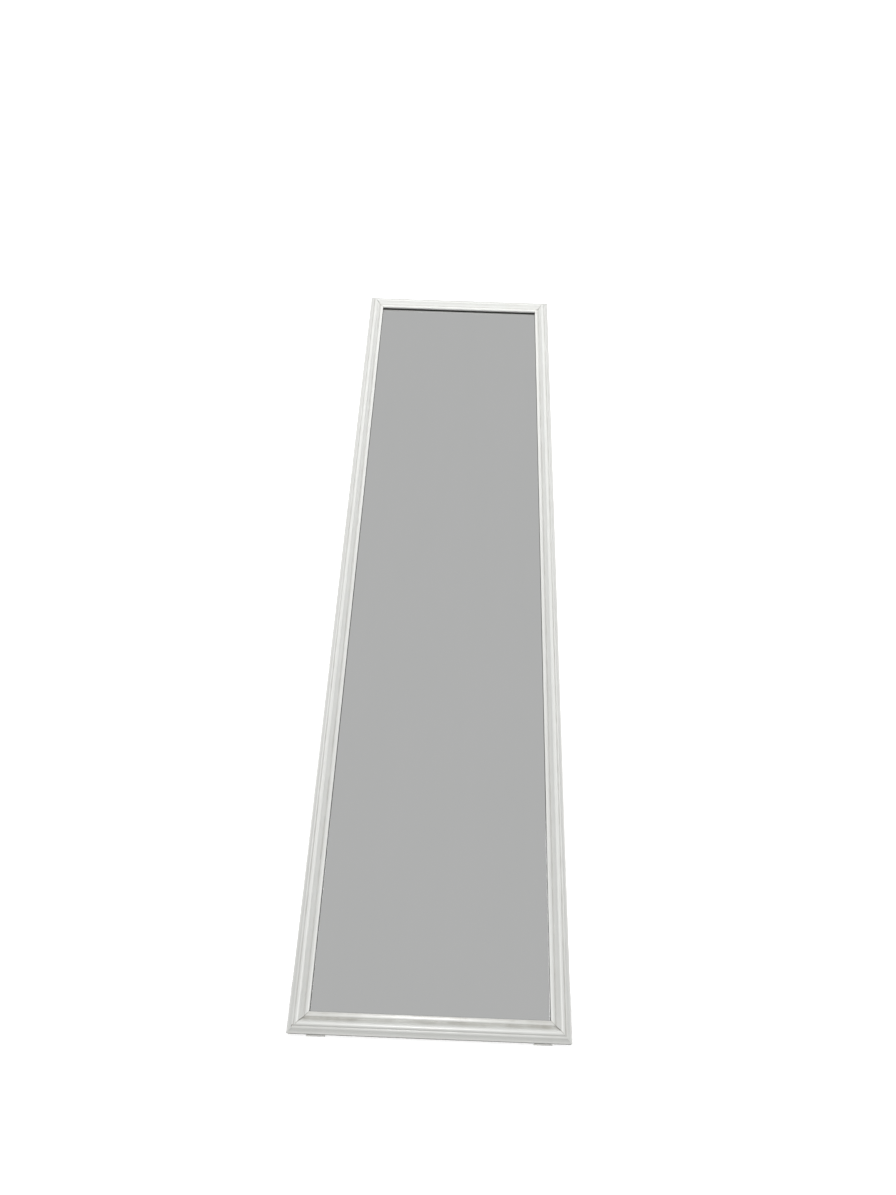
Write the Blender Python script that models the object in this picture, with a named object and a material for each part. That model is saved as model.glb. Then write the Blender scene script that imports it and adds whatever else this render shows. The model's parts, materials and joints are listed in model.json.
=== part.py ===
"""A full-length floor mirror in a moulded white frame, standing on a hinged easel leg.

Run with: blender --background --python part.py

Lengths are in metres, +Z is up and the mirror faces -Y. The mirror is drawn upright in its own tilted frame,
"mirror_tilt": X across, Y backwards from the back of the frame, Z up along the mirror from its underside.
The easel leg is drawn as it lies when folded against the back, below the hinge pins, and its empty
"leg_hinge_axis" swings it open. Each stay bar hangs from its own empty in the same way.
"""

import math

import bmesh
import bpy
from mathutils import Matrix, Vector

MM = 0.001
GAP = 0.3 * MM  # kept between pieces that touch

# Stance
LEAN = math.radians(12)  # mirror plane from the vertical
LEG_OPENING = math.radians(22)  # leg from the mirror plane
LEG_SLANT = LEG_OPENING - LEAN  # leg from the vertical
HEEL_HEIGHT = 1.0 * MM  # lower back edge of the frame above the floor

# Moulded frame
MIRROR_WIDTH = 400 * MM
MIRROR_HEIGHT = 1500 * MM
FACE_WIDTH = 29 * MM
FRAME_DEPTH = 23 * MM
REBATE_WIDTH = 7 * MM
REBATE_DEPTH = 10 * MM
SOLID_WIDTH = FACE_WIDTH - REBATE_WIDTH  # back of a rail, from its outer edge to the rebate

# Panels in the rebate
GLASS_THICKNESS = 3 * MM
BOARD_THICKNESS = 3 * MM
PANEL_PLAY = 1 * MM  # between a panel's edge and the rebate's wall
GLASS_FRONT = -REBATE_DEPTH + GAP
BOARD_FRONT = GLASS_FRONT + GLASS_THICKNESS + GAP
BOARD_BACK = BOARD_FRONT + BOARD_THICKNESS

# Small steel pieces in the frame
POINT_LENGTH = 16 * MM
POINT_WIDTH = 9 * MM
POINT_THICKNESS = 0.6 * MM
NAIL_INSET = 14 * MM  # V nail's apex from both outer edges
NAIL_LEG = 7 * MM
NAIL_THICKNESS = 0.8 * MM
NAIL_DEPTH = 9 * MM

# Batten that carries the hinges
HINGE_HEIGHT = 1000 * MM
BATTEN_LENGTH = 390 * MM
BATTEN_HEIGHT = 36 * MM
BATTEN_THICKNESS = 20 * MM
BATTEN_BACK = GAP + BATTEN_THICKNESS
JOINT_CLEARANCE = 1 * MM  # hinge axis to the batten above it and to the leg below it
WOOD_EDGE = 1.5 * MM  # radius sanded on wooden edges

# Hinges
LEAF_LENGTH = 50 * MM
LEAF_HEIGHT = 20 * MM
LEAF_THICKNESS = 1.5 * MM
KNUCKLES = 5
KNUCKLE_RADIUS = 3.2 * MM
KNUCKLE_SPACING = 0.4 * MM
PIN_RADIUS = 1.2 * MM
PIN_BORE_RADIUS = PIN_RADIUS + GAP
HINGE_OFFSET = 100 * MM  # hinge's middle from the middle of the mirror
HINGE_BACK = BATTEN_BACK + GAP + KNUCKLE_RADIUS  # hinge axis behind the back of the frame

# Easel leg, in its own frame on the hinge axis
LEG_WIDTH = 330 * MM
BAR_WIDTH = 28 * MM
BAR_THICKNESS = 18 * MM
BAR_BACK = BATTEN_BACK - HINGE_BACK
BAR_FRONT = BAR_BACK - BAR_THICKNESS
TOP_CROSSBAR_HEIGHT = 45 * MM
LOW_CROSSBAR_HEIGHT = 40 * MM
LOW_CROSSBAR_DROP = 760 * MM  # its top edge below the hinge axis
LEG_PAD_THICKNESS = 3 * MM
PAD_MARGIN = 2 * MM  # leg's pad inside the edges of the bar's end

# Stay bars
STAY_THICKNESS = 2 * MM
STAY_WIDTH = 16 * MM
STAY_PIVOT_DROP = 120 * MM  # bracket's pivot below the hinge axis
STOP_SCREW_DROP = 480 * MM  # stop screw below the hinge axis, along the leg
STAY_AXIS_BACK = HINGE_BACK + (BAR_BACK + BAR_FRONT) / 2
STAY_INNER_FACE = LEG_WIDTH / 2 + 2.5 * MM
STAY_OUTER_FACE = STAY_INNER_FACE + STAY_THICKNESS
STOP_SHANK_RADIUS = 2.5 * MM
SLOT_RADIUS = 3.6 * MM
SLOT_OVERRUN = 1.5 * MM  # play left beyond the stop screw when the leg is folded
PIVOT_SHANK_RADIUS = 2 * MM
PIVOT_HOLE_RADIUS = PIVOT_SHANK_RADIUS + GAP

# Stay brackets
EAR_INNER_FACE = STAY_OUTER_FACE + 0.5 * MM
EAR_THICKNESS = 2 * MM
EAR_RADIUS = 8 * MM
BRACKET_HEIGHT = 34 * MM
BRACKET_REACH = 197 * MM  # outer edge of the base from the middle of the mirror
BRACKET_SCREW_X = 187 * MM
BRACKET_SCREW_STAGGER = 2 * MM  # the lower screw further out and the upper one further in by this much

# Screws: head radius, head height, shank radius, length
BATTEN_SCREW = (3.8 * MM, 2.4 * MM, 1.9 * MM, 32 * MM)
LEAF_SCREW = (2.8 * MM, 1.5 * MM, 1.3 * MM, 14 * MM)
JOINT_SCREW = (5.0 * MM, 2.5 * MM, 2.6 * MM, 50 * MM)
BATTEN_SCREW_X = 188.5 * MM
BATTEN_SCREW_STAGGER = 1.5 * MM  # the lower screw further out and the upper one further in by this much
BATTEN_SCREW_INSET = 10 * MM  # from the batten's long edges
LEAF_SCREW_X = 15 * MM  # both sides of the leaf's middle
LEAF_SCREW_Z = 12 * MM  # from the hinge axis
BRACKET_SCREW_Z = 10 * MM  # both sides of the pivot's height

# Pads under the frame
FRAME_PAD_X = 160 * MM
FRAME_PAD_WIDTH = 26 * MM
FRAME_PAD_LENGTH = 6.5 * MM
FRAME_PAD_SETBACK = 1 * MM

SIDES = (("left", -1), ("right", 1))
ROUND_STEPS = 16

# name: colour, roughness, metallic
FINISHES = {
    "white_paint": ((0.80, 0.81, 0.79), 0.35, 0.0),
    "mirror": ((0.62, 0.63, 0.63), 0.03, 1.0),
    "hardboard": ((0.36, 0.22, 0.12), 0.75, 0.0),
    "zinc_steel": ((0.60, 0.60, 0.58), 0.32, 1.0),
    "white_rubber": ((0.72, 0.72, 0.70), 0.70, 0.0),
}


# ---- meshes ----


def arc(centre, radius, start, end, steps):
    """Points on an arc, with its angles in degrees. radius may be one for each direction."""
    across, along = radius if isinstance(radius, tuple) else (radius, radius)
    angles = [math.radians(start + (end - start) * i / steps) for i in range(steps + 1)]
    return [(centre[0] + across * math.cos(a), centre[1] + along * math.sin(a)) for a in angles]


def mesh_from(name, points, faces):
    """A closed mesh from points and faces, with its normals made to face out."""
    bm = bmesh.new()
    corners = [bm.verts.new(p) for p in points]
    for face in faces:
        bm.faces.new([corners[i] for i in face])
    bmesh.ops.recalc_face_normals(bm, faces=bm.faces)
    mesh = bpy.data.meshes.new(name)
    bm.to_mesh(mesh)
    bm.free()
    return mesh


def prism(name, outline, low, high, along):
    """An outline extruded from low to high along X, Y or Z. It is drawn in the other two axes, in their order."""
    place = {
        "X": lambda a, b, d: (d, a, b),
        "Y": lambda a, b, d: (a, d, b),
        "Z": lambda a, b, d: (a, b, d),
    }[along]
    n = len(outline)
    points = [place(a, b, d) for d in (low, high) for a, b in outline]
    sides = [(i, (i + 1) % n, n + (i + 1) % n, n + i) for i in range(n)]
    return mesh_from(name, points, sides + [tuple(range(n)), tuple(range(n, 2 * n))])


def box(name, low, high):
    corners = [(low[0], low[1]), (high[0], low[1]), (high[0], high[1]), (low[0], high[1])]
    return prism(name, corners, low[2], high[2], "Z")


def turned(name, profile, steps=ROUND_STEPS):
    """A solid of revolution about Z, from (radius, height) points whose first and last lie on the axis."""
    rim = profile[1:-1]
    points = [(0, 0, profile[0][1])]
    for radius, height in rim:
        for i in range(steps):
            a = math.tau * i / steps
            points.append((radius * math.cos(a), radius * math.sin(a), height))
    points.append((0, 0, profile[-1][1]))
    faces = []
    for i in range(steps):
        j = (i + 1) % steps
        faces.append((0, 1 + i, 1 + j))
        for ring in range(len(rim) - 1):
            here, there = 1 + ring * steps, 1 + (ring + 1) * steps
            faces.append((here + i, there + i, there + j, here + j))
        last = 1 + (len(rim) - 1) * steps
        faces.append((last + i, len(points) - 1, last + j))
    return mesh_from(name, points, faces)


def rod(name, radius, low, high):
    return turned(name, [(0, low), (radius, low), (radius, high), (0, high)])


def capsule(start, end, radius, steps):
    """The outline of a bar with two round ends, its middle line running down the second axis from start to end."""
    return arc((0, start), radius, 0, 180, steps) + arc((0, end), radius, 180, 360, steps)


def grown(size, by):
    """A screw's size with clearance all round."""
    head_radius, head_height, shank_radius, length = size
    return (head_radius + by, head_height, shank_radius + by, length + by)


def screw_profile(size):
    """A countersunk screw pointing down from the surface that it is flush with."""
    head_radius, head_height, shank_radius, length = size
    tip = 2 * shank_radius
    return [
        (0, -length),
        (0.4 * shank_radius, -length),
        (shank_radius, -length + tip),
        (shank_radius, -head_height),
        (head_radius, -0.2 * head_height),
        (head_radius, 0),
        (0, 0),
    ]


def cross_outline(span, width):
    """A plus sign, for a cross recess."""
    s, w = span / 2, width / 2
    quarter = [(s, -w), (s, w), (w, w)]
    points = []
    for turn in range(4):
        c, d = math.cos(turn * math.pi / 2), math.sin(turn * math.pi / 2)
        points += [(x * c - y * d, x * d + y * c) for x, y in quarter]
    return points


def hexagon(radius):
    return arc((0, 0), radius, 0, 300, 5)


# ---- objects ----


def finish(name):
    """The named material, made the first time that it is asked for."""
    if name not in bpy.data.materials:
        colour, roughness, metallic = FINISHES[name]
        made = bpy.data.materials.new(name)
        made.use_nodes = True
        made.diffuse_color = (*colour, 1)
        shader = made.node_tree.nodes["Principled BSDF"]
        shader.inputs["Base Color"].default_value = (*colour, 1)
        shader.inputs["Roughness"].default_value = roughness
        shader.inputs["Metallic"].default_value = metallic
    return bpy.data.materials[name]


def piece(name, mesh, material, parent, location=(0, 0, 0), rotation=(0, 0, 0), smooth=False):
    """One sub-part of the mirror, which becomes one node."""
    obj = bpy.data.objects.new(name, mesh)
    obj.location, obj.rotation_euler = location, rotation
    obj.parent = parent
    bpy.context.scene.collection.objects.link(obj)
    if not mesh.materials:
        mesh.materials.append(finish(material))
    if smooth:
        mesh.shade_smooth()
        mesh.set_sharp_from_angle(angle=math.radians(35))
    return obj


def axis_empty(name, parent, location, opening=0.0):
    """An empty on a joint's axis, which runs along X."""
    empty = bpy.data.objects.new(name, None)
    empty.location, empty.rotation_euler = location, (opening, 0, 0)
    empty.parent = parent
    bpy.context.scene.collection.objects.link(empty)
    return empty


def cutter(name, mesh, parent, location=(0, 0, 0), rotation=(0, 0, 0)):
    obj = bpy.data.objects.new(name, mesh)
    obj.location, obj.rotation_euler = location, rotation
    obj.parent = parent
    obj.hide_render, obj.display_type = True, "WIRE"
    bpy.context.scene.collection.objects.link(obj)
    return obj


def cut(tool, *targets):
    """Takes a cutter's volume out of each target. All the cutters of one target work in a single step."""
    for target in targets:
        name = target.name + "_cutters"
        cutters = bpy.data.collections.get(name)
        if not cutters:
            cutters = bpy.data.collections.new(name)
            modifier = target.modifiers.new(name, "BOOLEAN")
            modifier.operation, modifier.solver = "DIFFERENCE", "EXACT"
            modifier.operand_type, modifier.collection = "COLLECTION", cutters
        cutters.objects.link(tool)


def join(target, added):
    """Unites a helper's volume with the target."""
    modifier = target.modifiers.new(added.name, "BOOLEAN")
    modifier.operation, modifier.solver, modifier.object = "UNION", "EXACT", added


def soften(obj, radius=WOOD_EDGE):
    """Rounds a wooden piece's edges, before anything is cut from it."""
    bevel = obj.modifiers.new("sanded_edges", "BEVEL")
    bevel.width, bevel.segments = radius, 2
    bevel.limit_method, bevel.angle_limit = "ANGLE", math.radians(30)


def evaluated_mesh(obj, name):
    """The mesh that an object's modifiers make, for sharing between copies. The object is removed."""
    bpy.context.view_layer.update()
    graph = bpy.context.evaluated_depsgraph_get()
    mesh = bpy.data.meshes.new_from_object(obj.evaluated_get(graph))
    mesh.name = name
    bpy.data.objects.remove(obj)
    return mesh


def screw_mesh(name, size, recess):
    """A screw with a recess in its head, shared by every screw of its kind."""
    solid = turned(name + "_solid", screw_profile(size))
    blank = piece(name + "_blank", solid, "zinc_steel", None, smooth=True)
    depth = 0.7 * size[1]
    tool = cutter(name + "_recess", prism("recess", recess, -depth, depth, "Z"), None)
    cut(tool, blank)
    mesh = evaluated_mesh(blank, name)
    bpy.data.objects.remove(tool)
    return mesh


def drive(name, mesh, size, parent, location, rotation, *targets):
    """Places a screw, and drills its hole in each target."""
    hole = grown(size, GAP)
    profile = screw_profile(hole)
    profile[-2:] = [(hole[0], 2 * hole[1]), (0, 2 * hole[1])]
    cut(cutter(name + "_hole", turned(name + "_hole", profile), parent, location, rotation), *targets)
    return piece(name, mesh, "zinc_steel", parent, location, rotation)


# ---- moulded frame ----


def moulding():
    """The rail's section as (distance in from the outer edge, height above the back), outer edge to sight edge.

    From outside: a slope that steepens, a narrow step, the high rounded ridge, a shallow cove that falls towards the
    glass, a narrow quirk and a lip that holds the glass.
    """
    chamfer = 1 * MM
    edge, arris = 1 * MM, 0.6 * MM
    ridge = 2.1 * MM
    return [
        (chamfer, 0),
        (0, chamfer),
        *arc((edge, 14.3 * MM), edge, 180, 110, 2),
        (3.0 * MM, 16.5 * MM),
        (6.0 * MM, 19.4 * MM),
        (7.2 * MM, 20.3 * MM),
        (9.2 * MM, 20.4 * MM),
        *arc((13.3 * MM, FRAME_DEPTH - ridge), (3.5 * MM, ridge), 172, 42, 6),
        (18.0 * MM, 19.3 * MM),
        (21.0 * MM, 15.9 * MM),
        (21.6 * MM, 14.9 * MM),
        (22.4 * MM, 15.3 * MM),
        (24.4 * MM, 16.0 * MM),
        (FACE_WIDTH - arris, 16.1 * MM),
        (FACE_WIDTH, 16.1 * MM - arris),
        (FACE_WIDTH, REBATE_DEPTH),
        (SOLID_WIDTH, REBATE_DEPTH),
        (SOLID_WIDTH, 0),
    ]


def rail_mesh(name, length):
    """A mitred rail along X from its outer corner, with its inside edge towards +Z and its face towards -Y."""
    section = moulding()
    n = len(section)
    half_joint = GAP / 2 * math.sqrt(2)
    points = [(depth + half_joint, -height, depth) for depth, height in section]
    points += [(length - depth - half_joint, -height, depth) for depth, height in section]
    sides = [(i, (i + 1) % n, n + (i + 1) % n, n + i) for i in range(n)]
    return mesh_from(name, points, sides + [tuple(range(n)), tuple(range(n, 2 * n))])


def frame_rails(tilt):
    """The four mitred rails, by name."""
    half, height = MIRROR_WIDTH / 2, MIRROR_HEIGHT
    placed = {
        "bottom_rail": (MIRROR_WIDTH, (-half, 0, 0), 0),
        "right_stile": (MIRROR_HEIGHT, (half, 0, 0), -90),
        "top_rail": (MIRROR_WIDTH, (half, 0, height), 180),
        "left_stile": (MIRROR_HEIGHT, (-half, 0, height), 90),
    }
    return {
        name: piece(
            name, rail_mesh(name, length), "white_paint", tilt, corner, (0, math.radians(turn), 0), smooth=True
        )
        for name, (length, corner, turn) in placed.items()
    }


def corner_nails(tilt, rails):
    """A steel V nail pressed into the back of each mitre, with one leg in each rail."""

    def outline(thickness, leg):
        t = thickness / 2
        return [(t, t), (-leg, t), (-leg, -t), (-t, -t), (-t, -leg), (t, -leg)]

    nail = prism("v_nail", outline(NAIL_THICKNESS, NAIL_LEG), -NAIL_DEPTH, 0, "Z")
    slot_outline = outline(NAIL_THICKNESS + 2 * GAP, NAIL_LEG + GAP)
    slot = prism("v_nail_slot", slot_outline, -NAIL_DEPTH - GAP, NAIL_DEPTH, "Z")
    # The nail is drawn for the lower left corner as seen from behind, which is the mirror's own +X side.
    corners = {
        "lower_right": (1, 0, 0, ("bottom_rail", "right_stile")),
        "upper_right": (1, 1, 90, ("top_rail", "right_stile")),
        "upper_left": (-1, 1, 180, ("top_rail", "left_stile")),
        "lower_left": (-1, 0, 270, ("bottom_rail", "left_stile")),
    }
    for corner, (side, top, turn, names) in corners.items():
        x = side * (MIRROR_WIDTH / 2 - NAIL_INSET)
        z = MIRROR_HEIGHT - NAIL_INSET if top else NAIL_INSET
        facing_back = Matrix.Rotation(math.radians(-90), 4, "X") @ Matrix.Rotation(math.pi, 4, "Z")
        rotation = (Matrix.Rotation(math.radians(-turn), 4, "Y") @ facing_back).to_euler()
        name = corner + "_v_nail"
        cut(cutter(name + "_slot", slot, tilt, (x, 0, z), rotation), *[rails[n] for n in names])
        piece(name, nail, "zinc_steel", tilt, (x, -GAP / 2, z), rotation)


def panel(name, material, tilt, front, thickness):
    """A flat sheet that lies in the rebate."""
    inset = SOLID_WIDTH + PANEL_PLAY
    half = MIRROR_WIDTH / 2 - inset
    mesh = box(name, (-half, front, inset), (half, front + thickness, MIRROR_HEIGHT - inset))
    return piece(name, mesh, material, tilt)


def retaining_points(tilt, rails):
    """Flat steel points pushed into the rebate's wall, which hold the backing board in."""
    half_width, inside = POINT_WIDTH / 2, 0.6 * POINT_LENGTH

    def outline(margin):
        """The point lies across the rebate's wall at the origin, with +X into the opening."""
        w, back = half_width + margin, inside - POINT_LENGTH - margin
        return [(inside + margin, -0.6 * w), (inside + margin, 0.6 * w), (0, w), (back, 0), (0, -w)]

    low = BOARD_BACK + GAP
    point = prism("retaining_point", outline(0), low, low + POINT_THICKNESS, "Y")
    slot = prism("retaining_point_slot", outline(GAP), low - GAP, low + POINT_THICKNESS + GAP, "Y")
    wall = MIRROR_WIDTH / 2 - SOLID_WIDTH
    low_z, high_z = 0.25 * MIRROR_HEIGHT, 0.75 * MIRROR_HEIGHT
    places = {
        "left_low": ("left_stile", (-wall, 0, low_z), 0),
        "left_high": ("left_stile", (-wall, 0, high_z), 0),
        "right_low": ("right_stile", (wall, 0, low_z), 180),
        "right_high": ("right_stile", (wall, 0, high_z), 180),
        "bottom": ("bottom_rail", (0, 0, SOLID_WIDTH), -90),
        "top": ("top_rail", (0, 0, MIRROR_HEIGHT - SOLID_WIDTH), 90),
    }
    for where, (rail, location, turn) in places.items():
        rotation = (0, math.radians(turn), 0)
        name = where + "_retaining_point"
        cut(cutter(name + "_slot", slot, tilt, location, rotation), rails[rail])
        piece(name, point, "zinc_steel", tilt, location, rotation)


def floor_line(y, slant, height, level=0.0):
    """Z in a frame turned by slant about X, its origin at this height, of the point above y at that level."""
    return (level - height - y * math.sin(slant)) / math.cos(slant)


def frame_pads(tilt):
    """Rubber wedges that fill the space between the leaning frame and the floor."""
    back = -FRAME_PAD_SETBACK
    front = back - FRAME_PAD_LENGTH
    outline = [
        (front, -GAP),
        (back, -GAP),
        (back, floor_line(back, -LEAN, HEEL_HEIGHT)),
        (front, floor_line(front, -LEAN, HEEL_HEIGHT)),
    ]
    pad = prism("frame_pad", outline, -FRAME_PAD_WIDTH / 2, FRAME_PAD_WIDTH / 2, "X")
    for side, sign in SIDES:
        piece(side + "_frame_pad", pad, "white_rubber", tilt, (sign * FRAME_PAD_X, 0, 0))


# ---- hinges and batten ----


def leaf_mesh(name, first):
    """A hinge leaf on its axis along X. Its plate goes up, and it has every second knuckle from first."""
    pitch = LEAF_LENGTH / KNUCKLES
    front = -KNUCKLE_RADIUS
    clear = KNUCKLE_RADIUS + 2 * GAP
    half = LEAF_LENGTH / 2
    plate = box(name + "_plate", (-half, front, clear), (half, front + LEAF_THICKNESS, LEAF_HEIGHT))
    leaf = piece(name + "_blank", plate, "zinc_steel", None)
    soften(leaf, 0.3 * MM)
    # Each knuckle's strap leaves the barrel's front at a tangent, and runs a little way into the plate.
    strap_top = clear + 0.5 * MM
    strap = [(front + LEAF_THICKNESS, strap_top), (front, strap_top)]
    outline = strap + arc((0, 0), KNUCKLE_RADIUS, 180, 450, 15)
    helpers = []
    for i in range(first, KNUCKLES, 2):
        low = -half + i * pitch + KNUCKLE_SPACING / 2
        high = low + pitch - KNUCKLE_SPACING
        helpers.append(cutter(f"{name}_knuckle_{i}", prism("knuckle", outline, low, high, "X"), None))
        join(leaf, helpers[-1])
    bore = rod("bore", PIN_BORE_RADIUS, -LEAF_LENGTH, LEAF_LENGTH)
    helpers.append(cutter(name + "_bore", bore, None, rotation=(0, math.pi / 2, 0)))
    cut(helpers[-1], leaf)
    mesh = evaluated_mesh(leaf, name)
    for helper in helpers:
        bpy.data.objects.remove(helper)
    return mesh


def leaf_screws(prefix, leaf_side, sign, parent, centre, *targets):
    """The two screws of one leaf, flush with its back face. sign is 1 for the upper leaf, -1 for the lower."""
    mesh = bpy.data.meshes.get("leaf_screw") or screw_mesh("leaf_screw", LEAF_SCREW, cross_outline(3.2 * MM, 0.8 * MM))
    surface = -KNUCKLE_RADIUS + LEAF_THICKNESS
    for i, x in enumerate((-LEAF_SCREW_X, LEAF_SCREW_X), 1):
        location = (centre[0] + x, centre[1] + surface, centre[2] + sign * LEAF_SCREW_Z)
        name = f"{prefix}_{leaf_side}_leaf_screw_{i}"
        drive(name, mesh, LEAF_SCREW, parent, location, (-math.pi / 2, 0, 0), *targets)


def hinge_batten(tilt, rails):
    """The wooden batten across the back, screwed to both stiles."""
    low = HINGE_HEIGHT + JOINT_CLEARANCE
    half = BATTEN_LENGTH / 2
    mesh = box("hinge_batten", (-half, GAP, low), (half, BATTEN_BACK, low + BATTEN_HEIGHT))
    batten = piece("hinge_batten", mesh, "white_paint", tilt, smooth=True)
    soften(batten)
    screw = screw_mesh("batten_screw", BATTEN_SCREW, cross_outline(4.4 * MM, 1.0 * MM))
    for side, sign in SIDES:
        for level, z, stagger in (
            ("lower", low + BATTEN_SCREW_INSET, 1),
            ("upper", low + BATTEN_HEIGHT - BATTEN_SCREW_INSET, -1),
        ):
            x = sign * (BATTEN_SCREW_X + stagger * BATTEN_SCREW_STAGGER)
            location = (x, BATTEN_BACK, z)
            drive(
                f"{side}_{level}_batten_screw",
                screw,
                BATTEN_SCREW,
                tilt,
                location,
                (-math.pi / 2, 0, 0),
                batten,
                rails[side + "_stile"],
            )
    return batten


def hinges(tilt, leg, batten, crossbar):
    """Two butt hinges: the upper leaf and the pin stay on the batten, the lower leaf goes with the leg."""
    upper = leaf_mesh("upper_leaf", 0)
    lower = leaf_mesh("lower_leaf", 1)
    pin = rod("hinge_pin", PIN_RADIUS, -LEAF_LENGTH / 2 - 0.5 * MM, LEAF_LENGTH / 2 + 0.5 * MM)
    for side, sign in SIDES:
        x = sign * HINGE_OFFSET
        on_frame, on_leg = (x, HINGE_BACK, HINGE_HEIGHT), (x, 0, 0)
        leaf = piece(f"{side}_hinge_upper_leaf", upper.copy(), "zinc_steel", tilt, on_frame, smooth=True)
        leaf_screws(side, "upper", 1, tilt, on_frame, leaf, batten)
        # The lower leaf is the same plate turned over in its own plane.
        flipped = lower.copy()
        flipped.transform(Matrix.Diagonal((-1, 1, -1, 1)))
        leaf = piece(f"{side}_hinge_lower_leaf", flipped, "zinc_steel", leg, on_leg, smooth=True)
        leaf_screws(side, "lower", -1, leg, on_leg, leaf, crossbar)
        piece(f"{side}_hinge_pin", pin, "zinc_steel", tilt, on_frame, (0, math.pi / 2, 0), smooth=True)


# ---- easel leg ----


def easel_leg(leg, hinge_height):
    """Two side bars cut level at the foot, with a crossbar at the top and one near the foot."""
    inner = LEG_WIDTH / 2 - BAR_WIDTH
    foot_level = LEG_PAD_THICKNESS + GAP
    top = -JOINT_CLEARANCE
    outline = [
        (BAR_FRONT, top),
        (BAR_BACK, top),
        (BAR_BACK, floor_line(BAR_BACK, LEG_SLANT, hinge_height, foot_level)),
        (BAR_FRONT, floor_line(BAR_FRONT, LEG_SLANT, hinge_height, foot_level)),
    ]
    bars = {}
    for side, sign in SIDES:
        low, high = sorted((sign * inner, sign * LEG_WIDTH / 2))
        bars[side] = piece(
            side + "_leg_bar", prism("leg_bar", outline, low, high, "X"), "white_paint", leg, smooth=True
        )
        soften(bars[side])
    crossbars = {}
    reach = inner - GAP
    for name, high, height in (
        ("leg_top_crossbar", top, TOP_CROSSBAR_HEIGHT),
        ("leg_low_crossbar", -LOW_CROSSBAR_DROP, LOW_CROSSBAR_HEIGHT),
    ):
        mesh = box(name, (-reach, BAR_FRONT, high - height), (reach, BAR_BACK, high))
        crossbars[name] = piece(name, mesh, "white_paint", leg, smooth=True)
        soften(crossbars[name])
        joint_screws(leg, name, bars, crossbars[name], high - height / 2)
    return bars, crossbars["leg_top_crossbar"]


def joint_screws(leg, crossbar_name, bars, crossbar, height):
    """The hexagon-socket screw at each end of a crossbar, through the side bar."""
    mesh = bpy.data.meshes.get("joint_screw") or screw_mesh("joint_screw", JOINT_SCREW, hexagon(2.3 * MM))
    middle = (BAR_FRONT + BAR_BACK) / 2
    for side, sign in SIDES:
        drive(
            f"{side}_{crossbar_name}_screw",
            mesh,
            JOINT_SCREW,
            leg,
            (sign * LEG_WIDTH / 2, middle, height),
            (0, sign * math.pi / 2, 0),
            bars[side],
            crossbar,
        )


def leg_pads(leg, hinge_height):
    """Rubber pads under the level-cut feet of the side bars."""
    front, back = BAR_FRONT + PAD_MARGIN, BAR_BACK - PAD_MARGIN
    ends = ((front, LEG_PAD_THICKNESS), (back, LEG_PAD_THICKNESS), (back, 0), (front, 0))
    outline = [(y, floor_line(y, LEG_SLANT, hinge_height, level)) for y, level in ends]
    reach = BAR_WIDTH / 2 - PAD_MARGIN
    pad = prism("leg_pad", outline, -reach, reach, "X")
    for side, sign in SIDES:
        piece(side + "_leg_pad", pad, "white_rubber", leg, (sign * (LEG_WIDTH - BAR_WIDTH) / 2, 0, 0))


# ---- stays ----


def stay_reach(opening):
    """(distance, angle from the mirror plane) from the bracket's pivot to the stop screw, with the leg that far open."""
    back = (BAR_BACK + BAR_FRONT) / 2
    pivot = Vector((back, -STAY_PIVOT_DROP))
    stop = Vector((back, -STOP_SCREW_DROP))
    turned_stop = Matrix.Rotation(opening, 2) @ stop
    line = turned_stop - pivot
    return line.length, math.atan2(line.x, -line.y)


def stay_bracket(side, sign, tilt, stile):
    """An angle bracket on the stile's back, with an ear that carries the stay's pivot."""
    height = HINGE_HEIGHT - STAY_PIVOT_DROP
    low, high = sorted((sign * EAR_INNER_FACE, sign * BRACKET_REACH))
    base = box("bracket_base", (low, GAP, -BRACKET_HEIGHT / 2), (high, GAP + EAR_THICKNESS, BRACKET_HEIGHT / 2))
    bracket = piece(side + "_stay_bracket", base, "zinc_steel", tilt, (0, 0, height), smooth=True)
    low, high = sorted((sign * EAR_INNER_FACE, sign * (EAR_INNER_FACE + EAR_THICKNESS)))
    foot = BRACKET_HEIGHT / 2 - 3 * MM
    outline = [(2 * GAP, -foot), (2 * GAP, foot)] + arc((STAY_AXIS_BACK, 0), EAR_RADIUS, 60, -60, 8)
    ear = cutter(side + "_bracket_ear", prism("ear", outline, low, high, "X"), tilt, (0, 0, height))
    join(bracket, ear)
    hole = rod("pivot_hole", PIVOT_HOLE_RADIUS, -2 * EAR_THICKNESS, 2 * EAR_THICKNESS)
    at = (sign * (EAR_INNER_FACE + EAR_THICKNESS / 2), STAY_AXIS_BACK, height)
    cut(cutter(side + "_ear_hole", hole, tilt, at, (0, math.pi / 2, 0)), bracket)
    screw = bpy.data.meshes["leaf_screw"]
    for level, offset, stagger in (("lower", -BRACKET_SCREW_Z, 1), ("upper", BRACKET_SCREW_Z, -1)):
        x = sign * (BRACKET_SCREW_X + stagger * BRACKET_SCREW_STAGGER)
        location = (x, GAP + EAR_THICKNESS, height + offset)
        name = f"{side}_bracket_{level}_screw"
        drive(name, screw, LEAF_SCREW, tilt, location, (-math.pi / 2, 0, 0), bracket, stile)


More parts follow.
